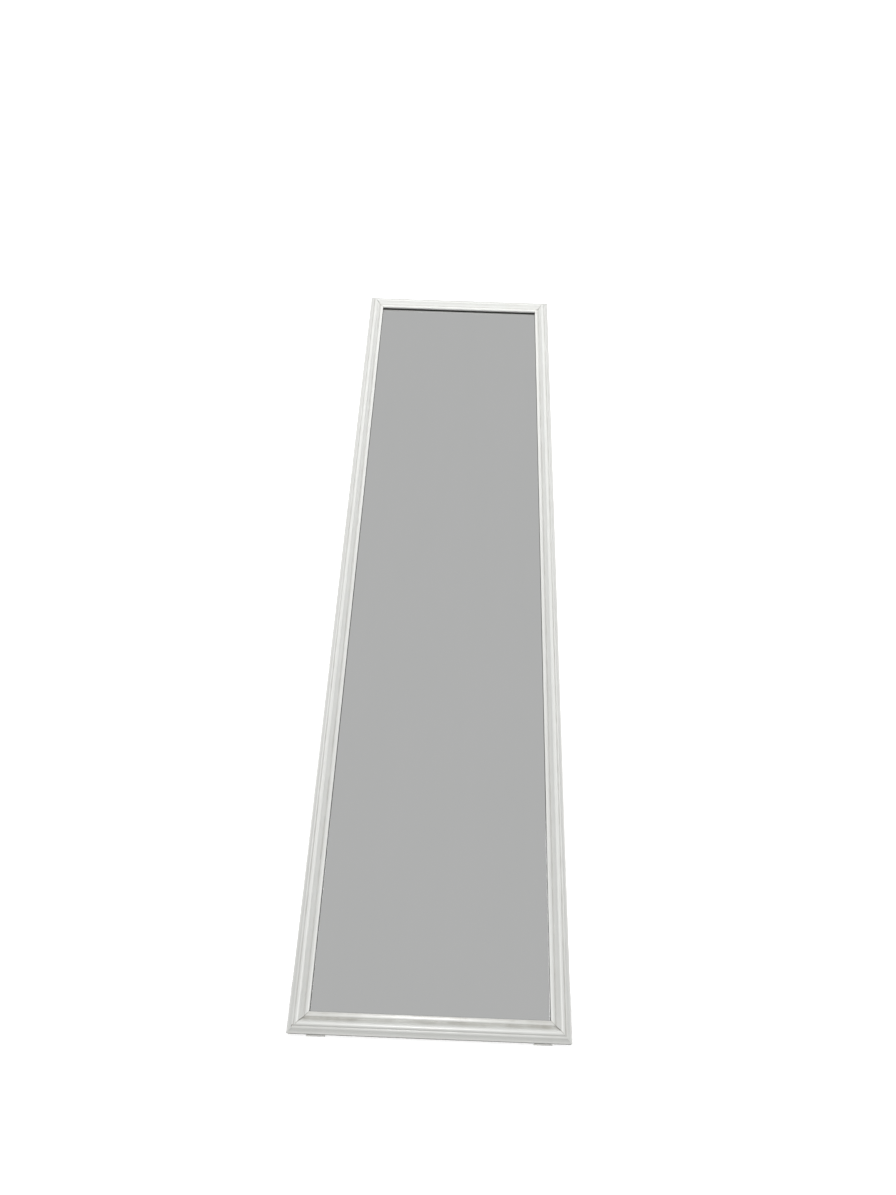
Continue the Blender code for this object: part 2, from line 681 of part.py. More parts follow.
def stay_rivet(side, sign, tilt):
    """The shouldered rivet that joins the stay to its bracket's ear."""
    head, head_height = 4.5 * MM, 1.2 * MM
    inner = STAY_INNER_FACE - GAP
    outer = EAR_INNER_FACE + EAR_THICKNESS + GAP
    profile = [
        (0, inner - head_height),
        (0.7 * head, inner - head_height),
        (head, inner - 0.4 * head_height),
        (head, inner),
        (PIVOT_SHANK_RADIUS, inner),
        (PIVOT_SHANK_RADIUS, outer),
        (0.8 * head, outer),
        (0.8 * head, outer + 0.5 * head_height),
        (0.5 * head, outer + head_height),
        (0, outer + head_height),
    ]
    rivet = turned("stay_rivet", profile)
    at = (0, STAY_AXIS_BACK, HINGE_HEIGHT - STAY_PIVOT_DROP)
    piece(side + "_stay_rivet", rivet, "zinc_steel", tilt, at, (0, sign * math.pi / 2, 0), smooth=True)


def stay_bar(side, sign, tilt):
    """A flat bar that hangs from its pivot, with a slot for the stop screw near its foot."""
    folded_reach = stay_reach(0)[0]
    open_reach, open_angle = stay_reach(LEG_OPENING)
    play = SLOT_RADIUS - STOP_SHANK_RADIUS
    slot_top = folded_reach + play - SLOT_OVERRUN
    slot_foot = open_reach - play + GAP
    radius = STAY_WIDTH / 2
    foot = slot_foot + SLOT_RADIUS + 0.5 * radius
    axis = axis_empty(
        side + "_stay_axis", tilt, (0, STAY_AXIS_BACK, HINGE_HEIGHT - STAY_PIVOT_DROP), open_angle
    )
    low, high = sorted((sign * STAY_INNER_FACE, sign * STAY_OUTER_FACE))
    bar = piece(
        side + "_stay_bar", prism("stay_bar", capsule(0, -foot, radius, 8), low, high, "X"), "zinc_steel", axis
    )
    reach = 2 * STAY_OUTER_FACE
    slot = prism("stay_slot", capsule(-slot_top, -slot_foot, SLOT_RADIUS, 8), -reach, reach, "X")
    cut(cutter(side + "_stay_slot", slot, axis), bar)
    hole = rod("stay_hole", PIVOT_HOLE_RADIUS, -reach, reach)
    cut(cutter(side + "_stay_hole", hole, axis, rotation=(0, math.pi / 2, 0)), bar)


def stop_screw(side, sign, leg, bar):
    """The shouldered screw in the leg's side bar that slides in the stay's slot and stops the leg at its end."""
    collar, head, thread = 5 * MM, 6 * MM, 2 * MM
    wood = LEG_WIDTH / 2
    thread_length = 18 * MM
    profile = [
        (0, wood - thread_length),
        (0.4 * thread, wood - thread_length),
        (thread, wood - thread_length + 2 * thread),
        (thread, wood + GAP),
        (collar, wood + GAP),
        (collar, STAY_INNER_FACE - GAP),
        (STOP_SHANK_RADIUS, STAY_INNER_FACE - GAP),
        (STOP_SHANK_RADIUS, STAY_OUTER_FACE + GAP),
        (head, STAY_OUTER_FACE + GAP),
        (head, STAY_OUTER_FACE + 1.2 * MM),
        (0.7 * head, STAY_OUTER_FACE + 2.2 * MM),
        (0, STAY_OUTER_FACE + 2.2 * MM),
    ]
    at = (0, (BAR_BACK + BAR_FRONT) / 2, -STOP_SCREW_DROP)
    turn = (0, sign * math.pi / 2, 0)
    screw = piece(side + "_stop_screw", turned("stop_screw", profile), "zinc_steel", leg, at, turn, smooth=True)
    top = STAY_OUTER_FACE + 2.2 * MM
    recess = prism("stop_recess", cross_outline(5 * MM, 1.1 * MM), top - 1.2 * MM, top + 1.2 * MM, "Z")
    cut(cutter(side + "_stop_recess", recess, leg, at, turn), screw)
    hole = rod("stop_hole", thread + GAP, wood - thread_length - GAP, wood + thread)
    cut(cutter(side + "_stop_hole", hole, leg, at, turn), bar)


# ---- whole mirror ----


def centre_on_footprint(tilt):
    """Moves the whole mirror so that the middle of its footprint is at the world's origin."""
    bpy.context.view_layer.update()
    graph = bpy.context.evaluated_depsgraph_get()
    depths = []
    for obj in bpy.data.objects:
        if obj.type == "MESH" and not obj.hide_render:
            shown = obj.evaluated_get(graph)
            depths += [(shown.matrix_world @ v.co).y for v in shown.data.vertices]
    tilt.location.y -= (min(depths) + max(depths)) / 2


def main():
    for obj in list(bpy.data.objects):
        bpy.data.objects.remove(obj)
    tilt = axis_empty("mirror_tilt", None, (0, 0, HEEL_HEIGHT), -LEAN)
    leg = axis_empty("leg_hinge_axis", tilt, (0, HINGE_BACK, HINGE_HEIGHT), LEG_OPENING)
    hinge_height = HEEL_HEIGHT + HINGE_HEIGHT * math.cos(LEAN) - HINGE_BACK * math.sin(LEAN)

    rails = frame_rails(tilt)
    corner_nails(tilt, rails)
    panel("mirror_glass", "mirror", tilt, GLASS_FRONT, GLASS_THICKNESS)
    panel("backing_board", "hardboard", tilt, BOARD_FRONT, BOARD_THICKNESS)
    retaining_points(tilt, rails)
    frame_pads(tilt)
    batten = hinge_batten(tilt, rails)
    bars, top_crossbar = easel_leg(leg, hinge_height)
    leg_pads(leg, hinge_height)
    hinges(tilt, leg, batten, top_crossbar)
    for side, sign in SIDES:
        stay_bracket(side, sign, tilt, rails[side + "_stile"])
        stay_rivet(side, sign, tilt)
        stay_bar(side, sign, tilt)
        stop_screw(side, sign, leg, bars[side])
    centre_on_footprint(tilt)


main()
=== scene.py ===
"""The looks of a full-length floor mirror in a moulded white frame, standing on a hinged easel leg.

The visible pieces are built again here, finely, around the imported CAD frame: the mitred moulding, the glass,
the hardboard back, the painted easel leg and its steel fittings. Each stands for its CAD node and rides on
that node's body. Only the frame's nails and retaining points show as the CAD has them.

Lengths are in metres, +Z is up and the mirror faces -Y. Three local frames are used, as in the CAD:
- TILT: X across, Y backwards from the back of the frame, Z up along the mirror from its underside
- LEG: on the hinge axis, with the leg hanging down from it
- STAY: on the stays' pivot axis, with the stay bars hanging down from it
"""

import json
import math

import bmesh
import bpy
from mathutils import Matrix, Vector

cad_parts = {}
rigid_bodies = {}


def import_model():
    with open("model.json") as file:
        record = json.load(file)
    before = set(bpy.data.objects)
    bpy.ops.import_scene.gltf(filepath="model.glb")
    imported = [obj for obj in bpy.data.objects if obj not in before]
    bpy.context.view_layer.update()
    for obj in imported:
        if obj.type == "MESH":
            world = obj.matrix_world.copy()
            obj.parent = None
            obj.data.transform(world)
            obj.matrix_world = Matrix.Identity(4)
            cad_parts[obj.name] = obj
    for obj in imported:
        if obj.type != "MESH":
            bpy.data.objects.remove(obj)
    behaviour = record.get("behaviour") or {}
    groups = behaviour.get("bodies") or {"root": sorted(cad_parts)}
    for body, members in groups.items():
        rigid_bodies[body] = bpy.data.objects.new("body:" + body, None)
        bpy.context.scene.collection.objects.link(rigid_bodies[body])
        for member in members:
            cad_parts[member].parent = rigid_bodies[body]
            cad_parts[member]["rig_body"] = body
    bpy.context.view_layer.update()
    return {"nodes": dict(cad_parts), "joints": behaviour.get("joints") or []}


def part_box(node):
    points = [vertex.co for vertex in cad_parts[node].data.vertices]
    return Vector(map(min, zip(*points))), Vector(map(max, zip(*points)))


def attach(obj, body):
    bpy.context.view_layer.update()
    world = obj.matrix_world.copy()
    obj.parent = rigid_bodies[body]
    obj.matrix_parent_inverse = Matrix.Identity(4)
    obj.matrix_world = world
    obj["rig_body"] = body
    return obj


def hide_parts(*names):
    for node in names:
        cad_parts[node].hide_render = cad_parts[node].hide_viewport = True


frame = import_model()

MM = 0.001
GAP = 0.3 * MM

# Stance
LEAN = math.radians(12)
JOINTS = {joint["name"]: joint for joint in frame["joints"]}
LEG_OPENING = math.radians(JOINTS["leg_fold"]["range_deg"][1])

# Moulded frame
MIRROR_WIDTH = 400 * MM
MIRROR_HEIGHT = 1500 * MM
FACE_WIDTH = 29 * MM
FRAME_DEPTH = 23 * MM
REBATE_WIDTH = 7 * MM
REBATE_DEPTH = 10 * MM
SOLID_WIDTH = FACE_WIDTH - REBATE_WIDTH
# The sight wall is painted dark as shade below these heights, down to the glass; higher on the stiles.
SHADE_HEIGHT, STILE_SHADE_HEIGHT = 12.3 * MM, 13.6 * MM
SHADE_CREEP = 0.35 * MM  # width of the painted shade line over the bottom rail's arris, by the glass
MITRE_GAP = 0.1 * MM
MITRE_EASE = 0.8 * MM  # length over which a mitred end is eased
MITRE_LINE = 0.35 * MM  # how far a mitred end is shrunk on the inner half of the face, where its line shows
MITRE_BRIDGED = 0.06 * MM  # the same elsewhere, where the lacquer has bridged it
INNER_HALF = 12 * MM  # distance in from the outer edge at which the inner half starts
# Dust and painted shade by the ridge, in the quirk, on the cove and on the lip; more near the glass on the
# bottom rail
BOTTOM_RAIL_DUST_AND_SHADE, OTHER_RAIL_DUST_AND_SHADE = (0.3, 1.2, 1.2, 0.9), (0.9, 0.5, 0.0, 0.0)
MITRE_GRIME = 1.7  # how dirty the line of a mitre is, on the same scale

# Panels in the rebate
GLASS_THICKNESS = 3 * MM
BOARD_THICKNESS = 3 * MM
PANEL_PLAY = 1 * MM
GLASS_FRONT = -REBATE_DEPTH + GAP
BOARD_FRONT = GLASS_FRONT + GLASS_THICKNESS + GAP
BOARD_BACK = BOARD_FRONT + BOARD_THICKNESS

# Small steel pieces in the frame
POINT_LENGTH = 16 * MM
POINT_WIDTH = 9 * MM
POINT_THICKNESS = 0.6 * MM
NAIL_INSET = 14 * MM
NAIL_LEG = 7 * MM
NAIL_THICKNESS = 0.8 * MM
NAIL_DEPTH = 9 * MM

# Batten and hinges
HINGE_HEIGHT = 1000 * MM
BATTEN_LENGTH = 390 * MM
BATTEN_HEIGHT = 36 * MM
BATTEN_THICKNESS = 20 * MM
BATTEN_BACK = GAP + BATTEN_THICKNESS
JOINT_CLEARANCE = 1 * MM
WOOD_EDGE = 1.8 * MM
LEAF_LENGTH = 50 * MM
LEAF_HEIGHT = 20 * MM
LEAF_THICKNESS = 1.5 * MM
KNUCKLES = 5
KNUCKLE_RADIUS = 3.2 * MM
KNUCKLE_SPACING = 0.4 * MM
PIN_RADIUS = 1.2 * MM
HINGE_OFFSET = 100 * MM
HINGE_BACK = BATTEN_BACK + GAP + KNUCKLE_RADIUS

# Easel leg
LEG_WIDTH = 330 * MM
BAR_WIDTH = 28 * MM
BAR_THICKNESS = 18 * MM
BAR_BACK = BATTEN_BACK - HINGE_BACK
BAR_FRONT = BAR_BACK - BAR_THICKNESS
BAR_MIDDLE = (BAR_BACK + BAR_FRONT) / 2
TOP_CROSSBAR_HEIGHT = 45 * MM
LOW_CROSSBAR_HEIGHT = 40 * MM
LOW_CROSSBAR_DROP = 760 * MM
LEG_PAD_THICKNESS = 3 * MM
PAD_MARGIN = 2 * MM

# Stay bars and brackets
STAY_THICKNESS = 2 * MM
STAY_WIDTH = 16 * MM
STAY_PIVOT_DROP = 120 * MM
STOP_SCREW_DROP = 480 * MM
STAY_AXIS_BACK = HINGE_BACK + BAR_MIDDLE
STAY_INNER_FACE = LEG_WIDTH / 2 + 2.5 * MM
STAY_OUTER_FACE = STAY_INNER_FACE + STAY_THICKNESS
STOP_SHANK_RADIUS = 2.5 * MM
SLOT_RADIUS = 3.6 * MM
SLOT_OVERRUN = 1.5 * MM
PIVOT_SHANK_RADIUS = 2 * MM
EAR_INNER_FACE = STAY_OUTER_FACE + 0.5 * MM
EAR_THICKNESS = 2 * MM
EAR_RADIUS = 8 * MM
BRACKET_HEIGHT = 34 * MM
BRACKET_REACH = 197 * MM
BRACKET_SCREW_X = 187 * MM
BRACKET_SCREW_STAGGER = 2 * MM

# Screws: head radius, head height, shank radius, length
BATTEN_SCREW = (3.8 * MM, 2.4 * MM, 1.9 * MM, 32 * MM)
LEAF_SCREW = (2.8 * MM, 1.5 * MM, 1.3 * MM, 14 * MM)
JOINT_SCREW = (5.0 * MM, 2.5 * MM, 2.6 * MM, 50 * MM)
BATTEN_SCREW_X = 188.5 * MM
BATTEN_SCREW_STAGGER = 1.5 * MM
BATTEN_SCREW_INSET = 10 * MM  # from the batten's long edges
LEAF_SCREW_X = 15 * MM  # both sides of the leaf's middle
LEAF_SCREW_Z = 12 * MM  # from the hinge axis
BRACKET_SCREW_Z = 10 * MM  # both sides of the pivot's height

# Pads under the frame
FRAME_PAD_X = 160 * MM
FRAME_PAD_WIDTH = 26 * MM
FRAME_PAD_LENGTH = 6.5 * MM
FRAME_PAD_SETBACK = 1 * MM

# A small chip in the lacquer near the lower left corner
CHIP_ACROSS = 7.2 * MM
CHIP_UP = 9.5 * MM
CHIP_LENGTH = 2.2 * MM
CHIP_WIDTH = 0.7 * MM
CHIP_DEPTH = 0.35 * MM

SIDES = (("left", -1), ("right", 1))
ROUND_STEPS = 40
UNMOVED = Matrix.Identity(4)


# ---- where things are ----


def middle(node):
    low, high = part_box(node)
    return (low + high) / 2


def turn(angle, axis="X"):
    return Matrix.Rotation(angle, 4, axis)


def shift(x=0.0, y=0.0, z=0.0):
    return Matrix.Translation((x, y, z))


def stay_reach(opening):
    """(distance, angle from the mirror's plane) from stay pivot to stop screw, at an opening of the leg."""
    pivot = Vector((BAR_MIDDLE, -STAY_PIVOT_DROP))
    stop = Vector((BAR_MIDDLE, -STOP_SCREW_DROP))
    line = Matrix.Rotation(opening, 2) @ stop - pivot
    return line.length, math.atan2(line.x, -line.y)


GLASS_MIDDLE = (0, GLASS_FRONT + GLASS_THICKNESS / 2, MIRROR_HEIGHT / 2)
TILT = Matrix.Translation(middle("mirror_glass")) @ turn(-LEAN) @ Matrix.Translation(GLASS_MIDDLE).inverted()
LEG = Matrix.Translation(JOINTS["leg_fold"]["pos_m"]) @ turn(LEG_OPENING - LEAN)
STAY_PIVOT = Vector(JOINTS["left_stay_pivot"]["pos_m"])
STAY = shift(0, STAY_PIVOT.y, STAY_PIVOT.z) @ turn(stay_reach(LEG_OPENING)[1] - LEAN)


# ---- objects and meshes ----


def new_object(name, data):
    """A new object in the scene."""
    made = bpy.data.objects.new(name, data)
    bpy.context.scene.collection.objects.link(made)
    return made


def arc(centre, radius, start, end, steps):
    """Points on an arc, with its angles in degrees. radius may be one for each direction."""
    across, along = radius if isinstance(radius, tuple) else (radius, radius)
    angles = [math.radians(start + (end - start) * i / steps) for i in range(steps + 1)]
    return [(centre[0] + across * math.cos(a), centre[1] + along * math.sin(a)) for a in angles]


def mesh_of(bm, name):
    bmesh.ops.recalc_face_normals(bm, faces=bm.faces)
    mesh = bpy.data.meshes.new(name)
    bm.to_mesh(mesh)
    bm.free()
    return mesh


def mesh_from(name, points, faces):
    """A closed mesh from points and faces."""
    bm = bmesh.new()
    corners = [bm.verts.new(p) for p in points]
    for face in faces:
        bm.faces.new([corners[i] for i in face])
    return mesh_of(bm, name)


def prism(name, outline, low, high, along, high_scale=1.0):
    """An outline in two axes, in their order, extruded along the third. high_scale widens its high end."""

    def place(a, b, d):
        return {"X": (d, a, b), "Y": (a, d, b), "Z": (a, b, d)}[along]

    n = len(outline)
    points = [place(a, b, low) for a, b in outline]
    points += [place(a * high_scale, b * high_scale, high) for a, b in outline]
    sides = [(i, (i + 1) % n, n + (i + 1) % n, n + i) for i in range(n)]
    return mesh_from(name, points, sides + [tuple(range(n)), tuple(range(n, 2 * n))])


def eased(mesh, radius, steps=3, angle=30):
    """The mesh with every edge sharper than an angle rounded."""
    bm = bmesh.new()
    bm.from_mesh(mesh)
    sharp = [e for e in bm.edges if e.calc_face_angle(0) > math.radians(angle)]
    bmesh.ops.bevel(
        bm, geom=sharp, offset=radius, segments=steps, profile=0.5, affect="EDGES", clamp_overlap=True
    )
    return mesh_of(bm, mesh.name + "_eased")


def block(name, low, high, radius, steps=3):
    """A box with rounded edges."""
    corners = [(low[0], low[1]), (high[0], low[1]), (high[0], high[1]), (low[0], high[1])]
    return eased(prism(name, corners, low[2], high[2], "Z"), radius, steps)


def turned(name, profile, steps=ROUND_STEPS):
    """A solid of revolution about Z, from (radius, height) points whose first and last lie on the axis."""
    turns = [math.tau * i / steps for i in range(steps)]
    points = [(0, 0, profile[0][1])]
    for radius, height in profile[1:-1]:
        points += [(radius * math.cos(a), radius * math.sin(a), height) for a in turns]
    points.append((0, 0, profile[-1][1]))
    rings = range(1, len(points) - 1, steps)
    faces = []
    for i in range(steps):
        j = (i + 1) % steps
        faces.append((0, 1 + i, 1 + j))
        faces += [(here + i, there + i, there + j, here + j) for here, there in zip(rings, rings[1:])]
        faces.append((rings[-1] + i, len(points) - 1, rings[-1] + j))
    return mesh_from(name, points, faces)


def rod(name, radius, low, high, ease=0.0):
    """A round bar along Z, with a small chamfer at both ends if ease is given."""
    profile = [(0, low), (radius, low), (radius, high), (0, high)]
    if ease:
        profile[1:2] = [(radius - ease, low), (radius, low + ease)]
        profile[-2:-1] = [(radius, high - ease), (radius - ease, high)]
    return turned(name, profile)


def capsule(start, end, radius, steps=20):
    """The outline of a bar with two round ends. Its middle line runs down the second axis."""
    return arc((0, start), radius, 0, 180, steps) + arc((0, end), radius, 180, 360, steps)


def boolean(mesh, tools, operation="DIFFERENCE"):
    """The mesh after one exact Boolean with several (mesh, place) tools."""
    base = new_object("base", mesh)
    group = bpy.data.collections.new("tools")
    for tool_mesh, place in tools:
        tool = new_object("tool", tool_mesh)
        tool.matrix_world = place
        group.objects.link(tool)
    modifier = base.modifiers.new("boolean", "BOOLEAN")
    modifier.operation, modifier.solver = operation, "EXACT"
    modifier.operand_type, modifier.collection = "COLLECTION", group
    bpy.context.view_layer.update()
    graph = bpy.context.evaluated_depsgraph_get()
    result = bpy.data.meshes.new_from_object(base.evaluated_get(graph))
    for obj in (base, *group.objects):
        bpy.data.objects.remove(obj)
    bpy.data.collections.remove(group)
    return result


# ---- materials ----


def add(tree, kind, inputs=None, **settings):
    """A shader node with its settings and inputs, where an input is a value or another node's socket."""
    made = tree.nodes.new("ShaderNode" + kind)
    for key, value in settings.items():
        setattr(made, key, value)
    for key, value in (inputs or {}).items():
        if isinstance(value, bpy.types.NodeSocket):
            tree.links.new(value, made.inputs[key])
        else:
            made.inputs[key].default_value = value
    return made


def new_material(name, **constants):
    """(material, its tree) with constants set on its Principled shader's sockets."""
    made = bpy.data.materials.new(name)
    made.use_nodes = True
    tree = made.node_tree
    for key, value in constants.items():
        tree.nodes["Principled BSDF"].inputs[key.replace("_", " ")].default_value = value
    return made, tree


def finished(material, **driven):
    """The material, with sockets of its Principled shader driven by other nodes' sockets."""
    tree = material.node_tree
    for key, value in driven.items():
        tree.links.new(value, tree.nodes["Principled BSDF"].inputs[key.replace("_", " ")])
    return material


def coordinates(tree, scale=(1, 1, 1)):
    """The piece's own coordinates, in metres, stretched by scale."""
    at = add(tree, "TexCoord").outputs["Object"]
    return add(tree, "Mapping", {"Vector": at, "Scale": scale}).outputs["Vector"]


def noise(tree, scale, detail=3.0, roughness=0.5, stretch=(1, 1, 1)):
    """Noise in the piece's own coordinates, drawn out along the axes whose stretch is small."""
    inputs = {"Vector": coordinates(tree, stretch), "Scale": scale, "Detail": detail, "Roughness": roughness}
    return add(tree, "TexNoise", inputs).outputs["Fac"]


def spread(tree, value, low, high, from_low=0.3, from_high=0.7):
    """A value such as a noise, spread from low to high."""
    inputs = {"Value": value, "From Min": from_low, "From Max": from_high, "To Min": low, "To Max": high}
    return add(tree, "MapRange", inputs, clamp=True).outputs["Result"]


def blend(tree, factor, first, second):
    """A colour between two others. Each is three numbers or a socket."""
    colours = [c if isinstance(c, bpy.types.NodeSocket) else (*c, 1) for c in (first, second)]
    return add(tree, "Mix", {0: factor, 6: colours[0], 7: colours[1]}, data_type="RGBA").outputs[2]


def maths(tree, operation, first, second, clamped=False):
    return add(tree, "Math", {0: first, 1: second}, operation=operation, use_clamp=clamped).outputs[0]


def bump(tree, height, distance, strength=1.0, under=None):
    inputs = {"Height": height, "Distance": distance, "Strength": strength}
    if under is not None:
        inputs["Normal"] = under
    return add(tree, "Bump", inputs).outputs["Normal"]


def white_lacquer():
    """Satin white lacquer on a moulding along X, with faint streaks, and dust and painted shade in its
    hollows.
    """
    made, tree = new_material("white_lacquer", Coat_Weight=0.35, Coat_Roughness=0.18, IOR=1.5)
    streaks = noise(tree, 1.0, 4.0, stretch=(5, 260, 260))
    mottle = noise(tree, 34.0)
    skin = noise(tree, 900.0, 2.0, stretch=(0.6, 1, 1))
    peel = noise(tree, 330.0, 2.0, stretch=(0.7, 1, 1))
    grime_and_shade, chip = (add(tree, "Attribute", attribute_name=n).outputs["Fac"] for n in ("grime_and_shade", "chip"))
    tone = blend(tree, spread(tree, streaks, 0, 1), (0.725, 0.732, 0.709), (0.755, 0.762, 0.741))
    tone = blend(tree, spread(tree, mottle, 0, 0.35), tone, (0.70, 0.698, 0.672))
    # This darkening is partly dust and mitre grime, partly painted shade in the hollows and on the bottom
    # rail's lip.
    dust_and_shade_share = maths(tree, "MULTIPLY", grime_and_shade, spread(tree, mottle, 0.3, 0.8), clamped=True)
    tone = blend(tree, dust_and_shade_share, tone, (0.40, 0.39, 0.355))
    tone = blend(tree, chip, tone, (0.20, 0.18, 0.16))
    relief = bump(tree, peel, 0.12 * MM, 0.6, bump(tree, skin, 0.02 * MM, 0.35))
    relief = bump(tree, streaks, 0.06 * MM, 0.5, relief)
    return finished(made, Base_Color=tone, Roughness=spread(tree, streaks, 0.27, 0.40), Normal=relief)


def painted_shade_edge():
    """The dark wall of the rebate: painted shade, which shows as a fine dark line round the glass."""
    made, tree = new_material("painted_shade_edge", Specular_IOR_Level=0.2)
    fibre = noise(tree, 1.0, 4.0, stretch=(20, 400, 400))
    # Near-black tone: painted shade standing in for the shadow at the glass edge.
    tone = blend(tree, fibre, (0.035, 0.035, 0.034), (0.075, 0.073, 0.07))
    return finished(made, Base_Color=tone, Roughness=spread(tree, fibre, 0.55, 0.8))


def mirror_silver():
    """Silvered glass, with the faintest haze where it has been wiped."""
    made, tree = new_material("mirror_silver", Metallic=1.0)
    wiped = noise(tree, 4.0, 5.0, 0.6, (3, 1, 1.2))
    tone = blend(tree, spread(tree, wiped, 0, 1), (0.862, 0.872, 0.866), (0.874, 0.880, 0.876))
    return finished(made, Base_Color=tone, Roughness=spread(tree, wiped, 0.004, 0.022))


def glass_edge():
    """The ground green edge of the glass."""
    made, tree = new_material("glass_edge", Specular_IOR_Level=0.6, Coat_Weight=0.2)
    ground = noise(tree, 700.0)
    tone = blend(tree, ground, (0.10, 0.22, 0.18), (0.22, 0.38, 0.33))
    return finished(made, Base_Color=tone, Roughness=spread(tree, ground, 0.25, 0.5))


def mirror_paint():
    """The grey protective paint on the back of the silvering."""
    made, tree = new_material("mirror_paint")
    rolled = noise(tree, 240.0)
    tone = blend(tree, rolled, (0.16, 0.17, 0.18), (0.22, 0.23, 0.24))
    return finished(made, Base_Color=tone, Roughness=spread(tree, rolled, 0.45, 0.6))


def hardboard():
    """Brown hardboard with the print of a wire screen on its rough face."""
    made, tree = new_material("hardboard", Specular_IOR_Level=0.25)
    cloudy = noise(tree, 7.0, 5.0, 0.6)
    fibres = noise(tree, 420.0, 5.0, 0.7, (1, 1, 0.35))
    tone = blend(tree, spread(tree, cloudy, 0, 1), (0.215, 0.125, 0.062), (0.30, 0.18, 0.095))
    tone = blend(tree, spread(tree, fibres, 0, 0.55, 0.45, 0.75), tone, (0.42, 0.28, 0.165))
    tone = blend(tree, spread(tree, fibres, 0.5, 0, 0.25, 0.45), tone, (0.13, 0.07, 0.035))
    waves = {"Vector": coordinates(tree), "Scale": 190.0, "Distortion": 0.6, "Detail": 1.0}
    wires = [add(tree, "TexWave", waves, bands_direction=axis).outputs["Fac"] for axis in "XZ"]
    relief = bump(tree, maths(tree, "MULTIPLY", *wires), 0.25 * MM, 0.7)
    relief = bump(tree, fibres, 0.12 * MM, 0.7, relief)
    return finished(made, Base_Color=tone, Roughness=spread(tree, fibres, 0.62, 0.88), Normal=relief)


def painted_wood(name, along):
    """White paint on wood, its grain just showing. along is the axis of the grain, 0 for X or 2 for Z."""
    made, tree = new_material(name, Coat_Weight=0.15, Coat_Roughness=0.3)
    in_grain, in_rings = ([share if i == along else 1.0 for i in range(3)] for share in (0.035, 0.035 * 0.3))
    grain = noise(tree, 330.0, 5.0, 0.65, in_grain)
    rings = noise(tree, 75.0, 2.0, stretch=in_rings)
    mottle = noise(tree, 26.0)
    tone = blend(tree, spread(tree, mottle, 0, 1), (0.755, 0.76, 0.735), (0.80, 0.803, 0.785))
    tone = blend(tree, spread(tree, grain, 0.35, 0, 0.3, 0.48), tone, (0.64, 0.63, 0.585))
    relief = bump(tree, grain, 0.10 * MM, 0.8, bump(tree, rings, 0.12 * MM, 0.5))
    return finished(made, Base_Color=tone, Roughness=spread(tree, grain, 0.52, 0.36), Normal=relief)


def plated_steel(name, tone, roughness, stretch=(1, 1, 1), marks=0.5):
    """Zinc-plated or bright steel. stretch draws its fine marks out along one axis."""
    made, tree = new_material(name, Metallic=1.0)
    brushed = noise(tree, 700.0, 3.0, 0.6, stretch)
    crystals = add(tree, "TexVoronoi", {"Vector": coordinates(tree), "Scale": 420.0}).outputs["Color"]
    spangle = add(tree, "SeparateColor", {"Color": crystals}).outputs["Red"]
    tarnish = noise(tree, 90.0, 4.0, 0.6)
    dull = tuple(c * f for c, f in zip(tone, (0.74, 0.73, 0.70)))
    bright = tuple(min(1.0, c * 1.1) for c in tone)
    colour = blend(tree, spread(tree, tarnish, 0, 0.8), bright, dull)
    colour = blend(tree, spread(tree, spangle, 0, 0.22, 0, 1), colour, tone)
    worn = maths(tree, "ADD", brushed, tarnish)
    rough = spread(tree, worn, roughness - 0.08, roughness + 0.12, 0.7, 1.3)
    return finished(made, Base_Color=colour, Roughness=rough, Normal=bump(tree, brushed, 0.02 * MM, marks))


def white_rubber():
    made, tree = new_material("white_rubber", Specular_IOR_Level=0.35)
    skin = noise(tree, 1100.0, 4.0, 0.6)
    dirt = noise(tree, 120.0, 4.0, 0.65)
    tone = blend(tree, spread(tree, dirt, 0, 1, 0.35, 0.75), (0.88, 0.88, 0.86), (0.76, 0.75, 0.72))
    relief = bump(tree, skin, 0.05 * MM, 0.6)
    return finished(made, Base_Color=tone, Roughness=spread(tree, skin, 0.6, 0.85), Normal=relief)


LACQUER, SHADE_EDGE = white_lacquer(), painted_shade_edge()
SILVER, GLASS_EDGE, MIRROR_PAINT = mirror_silver(), glass_edge(), mirror_paint()
BOARD = hardboard()
WOOD_ACROSS, WOOD_UPRIGHT = painted_wood("painted_wood_across", 0), painted_wood("painted_wood_upright", 2)
HINGE_STEEL = plated_steel("hinge_steel", (0.62, 0.62, 0.60), 0.30, (0.06, 1, 1))
STAY_STEEL = plated_steel("stay_steel", (0.60, 0.60, 0.59), 0.28, (1, 1, 0.05))
SCREW_STEEL = plated_steel("screw_steel", (0.66, 0.65, 0.61), 0.25, marks=0.25)
SPRING_STEEL = plated_steel("spring_steel", (0.42, 0.42, 0.42), 0.35, (1, 1, 0.1))
RUBBER = white_rubber()


# ---- pieces ----

holes = {}  # node: the (mesh, world place) tools that its piece is cut with


def fine(node, mesh, place, *materials):
    """The fine piece that stands for a CAD node and rides with it, cut by the holes registered for it."""
    tools = [(tool, place.inverted() @ world) for tool, world in holes.pop(node, [])]
    if tools:
        mesh = boolean(mesh, tools)
    mesh.name = node + "_mesh"
    mesh.materials.clear()
    for material in materials:
        mesh.materials.append(material)
    mesh.shade_smooth()
    mesh.set_sharp_from_angle(angle=math.radians(40))
    obj = new_object(node + "_fine", mesh)
    obj.matrix_world = place
    obj.modifiers.new("flat_faces_stay_flat", "WEIGHTED_NORMAL").keep_sharp = True
    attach(obj, frame["nodes"][node]["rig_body"])
    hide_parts(node)
    return obj


def hole(nodes, mesh, place):
    """Registers a hole to be cut in the pieces of these nodes, which are made later."""
    for node in nodes:
        holes.setdefault(node, []).append((mesh, place))


def keep(node, material):
    """A CAD node that shows as it is, in a better material."""
    shown = frame["nodes"][node]
    shown.data.materials.clear()
    shown.data.materials.append(material)


# ---- screws ----


